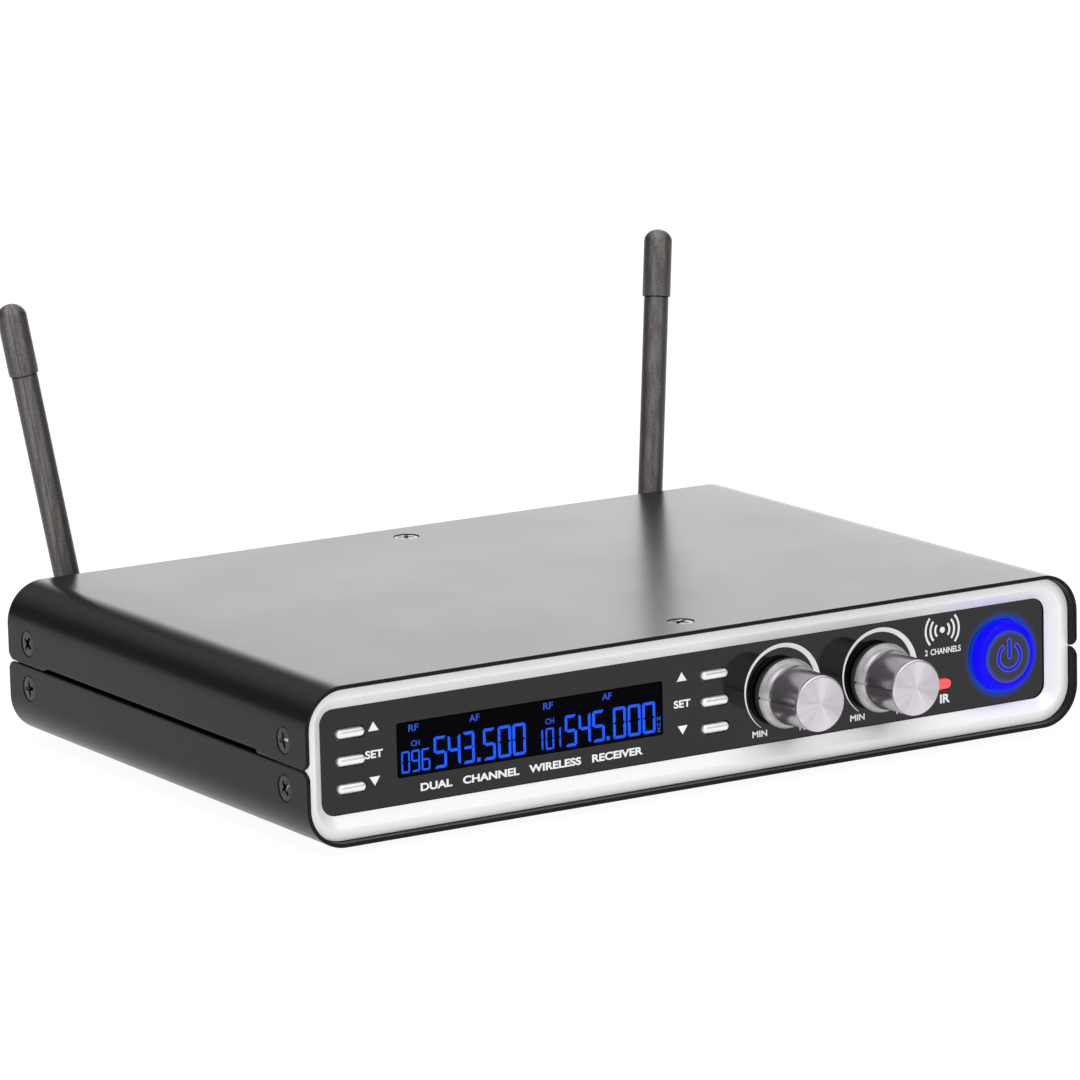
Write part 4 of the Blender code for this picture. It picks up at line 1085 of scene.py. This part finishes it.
def make_antenna(side):
    """A base that turns in the rear panel, and a sleeved rod with its cap."""
    pivot, way, pin = antenna_axes(side)
    body = f"antenna_{side}"
    base = f"antenna_turn_{side}"
    rod = soften([(0, 84.0), (2.85, 84.0), (2.85, 68.85), (3.1, 68.8), (3.25, 68.6),
                  (3.25, -0.4), (2.4, -2.2), (0, -2.6)], 0.15, 4)
    turned(f"antenna_{side}_sleeve", rod, pivot, way, SLEEVES[side], steps=64,
           replaces=[f"antenna_rod_{side}"], body=body)
    eye = soften([(0, 3.25), (3.7, 3.25), (3.9, 3.0), (3.9, -3.0), (3.7, -3.25), (0, -3.25)], 0.2)
    turned(f"antenna_{side}_eye", eye, pivot, pin, SLEEVES[side], steps=64, body=body)
    a = np.linspace(0, math.pi / 2, 14)
    dome = np.stack([3.71 * np.sin(a), 83.6 + 3.34 * np.cos(a)], axis=1)
    cap = np.vstack([dome, [(3.71, 76.0), (3.71, 69.3), (3.6, 69.0), (3.25, 69.0), (3.15, 69.2),
                            (3.15, 84.2), (0, 84.2)]])
    turned(f"antenna_{side}_cap", cap, pivot, way, SLEEVES[side], steps=72,
           replaces=[f"antenna_cap_{side}"], body=body)
    reach = (SOCKET_FACE - pivot[1]) / MM
    hub = [(0, reach + 2.4), (7.6, reach + 2.4), (8.0, reach + 2.0), (8.0, reach), (4.2, reach),
           (4.2, reach - 1.8), (6.0, reach - 1.8), (6.0, reach - 3.4), (0, reach - 3.4)]
    turned(f"antenna_{side}_hub", soften(hub, 0.3, 4), pivot, BACK, PLASTIC,
           replaces=[f"antenna_base_{side}"], body=base)
    up = np.cross(pin, BACK)
    up = up / np.linalg.norm(up) * np.sign(np.dot(np.cross(pin, BACK), UP))
    flat = (-reach - 1.5) * MM
    curve = np.linspace(-math.pi / 2, math.pi / 2, 24)
    radius = 5.2 * MM
    rim = np.stack([radius * np.cos(curve), radius * np.sin(curve)], axis=1)
    rim = np.vstack([[(-flat, -radius)], rim, [(-flat, radius)]])
    slices = [(3.6, 0.3), (3.72, 0.08), (3.9, 0), (5.35, 0), (5.6, 0.1), (5.7, 0.35)]
    for number, sign in enumerate((-1, 1), 1):
        rings = []
        for shift, shrink in slices:
            scale = 1 - shrink * MM / radius
            ring = pivot + rim[:, :1] * scale * BACK + rim[:, 1:] * scale * up
            rings.append(ring + sign * shift * MM * pin)
        points, faces = skin(np.array(rings))
        piece(f"antenna_{side}_cheek_{number}", points, faces, PLASTIC, smooth=45, body=base)
    rivet = [(0, 6.0), (1.1, 5.95), (1.5, 5.7), (1.5, -5.7), (1.1, -5.95), (0, -6.0)]
    turned(f"antenna_{side}_pin", soften(rivet, 0.15), pivot, pin, STEEL, steps=40, body=base)


# ---------------------------------------------------------------- CAD nodes that stay

def dress_nodes():
    """Better finishes for the flat pieces whose CAD shape is right."""
    posts = [f"board_post_{number}" for number in range(1, 5)]
    pairs = [(GLOSS, ["front_panel"]), (SMOKE, ["display_window"]), (PAINT, ["rear_panel"]),
             (PLASTIC, ["display_module", "key_switches_left", "key_switches_right",
                        "power_switch"]),
             (BOARD, ["control_board", "main_board"]),
             (STEEL, ["tuner_can_a", "tuner_can_b", "volume_pot_a", "volume_pot_b",
                      "pot_shaft_a", "pot_shaft_b", *posts])]
    for coat, names in pairs:
        for name in names:
            for holder in frame["nodes"][name].material_slots:
                holder.material = coat


# ---------------------------------------------------------------- studio

def make_floor():
    """A wide pale floor."""
    span = 30.0
    mesh = bpy.data.meshes.new("floor")
    corners = [(-span, -span, 0), (span, -span, 0), (span, span, 0), (-span, span, 0)]
    mesh.from_pydata(corners, [], [(0, 1, 2, 3)])
    paint, _ = finish("floor_pale", (0.10, 0.10, 0.10), 0.6, Specular_IOR_Level=0.0,
                      Emission_Color=(1, 1, 1, 1), Emission_Strength=0.95)
    mesh.materials.append(paint)
    place("floor", mesh)


def heading(azimuth, elevation):
    """The direction at an azimuth, clockwise from the rear, and an elevation, in degrees."""
    a, e = math.radians(azimuth), math.radians(elevation)
    return (math.sin(a) * math.cos(e), math.cos(a) * math.cos(e), math.sin(e))


def make_sky(fill, boxes):
    """An even fill with soft boxes in it; each is (azimuth, elevation, inner, outer, power),
    full inside the inner angle from its middle and fading to nothing at the outer one."""
    sky = bpy.data.worlds.new("studio")
    bpy.context.scene.world = sky
    sky.use_nodes = True
    tree = sky.node_tree
    way = add(tree, "TexCoord").outputs["Generated"]
    total = None
    for azimuth, elevation, inner, outer, power in boxes:
        near = add(tree, "VectorMath", {0: way, 1: heading(azimuth, elevation)},
                   operation="DOT_PRODUCT").outputs["Value"]
        glow = spread(tree, near, math.cos(math.radians(outer)), math.cos(math.radians(inner)),
                      0.0, power)
        start = fill if total is None else total
        total = reckon(tree, "ADD", start, glow)
    shade = tree.nodes["Background"]
    tree.links.new(total, shade.inputs["Strength"])
    shade.inputs["Color"].default_value = (1, 1, 1, 1)


CAMERA_PLACE = (-0.76325, -1.26616, 0.34659)
CAMERA_TURNS = (-31.2591, 90 - 11.4179, -1.3994)
SOFT_BOXES = [(0, 90, 20, 65, 1.6), (40, 8, 12, 30, 2.6), (200, 25, 20, 60, 0.9),
              (348, 34, 5, 22, 0.5)]


def make_camera():
    """A long lens from the front left, a little above the receiver."""
    lens = bpy.data.cameras.new("camera")
    lens.lens = 204.08
    lens.sensor_width = 36.0
    lens.clip_start = 0.05
    lens.clip_end = 200.0
    camera = place("camera", lens)
    heading_turn, tilt, roll = (math.radians(a) for a in CAMERA_TURNS)
    camera.matrix_world = (
        Matrix.Translation(CAMERA_PLACE)
        @ Matrix.Rotation(heading_turn, 4, "Z")
        @ Matrix.Rotation(tilt, 4, "X")
        @ Matrix.Rotation(roll, 4, "Z")
    )
    bpy.context.scene.camera = camera


make_case()
make_bezel()
make_printing()
make_display()
make_keys()
make_lens()
make_knobs()
make_power()
make_sockets()
make_antenna("left")
make_antenna("right")
dress_nodes()
make_floor()
make_sky(0.10, SOFT_BOXES)
make_camera()
bpy.context.scene.view_settings.view_transform = "Standard"

bpy.context.view_layer.update()
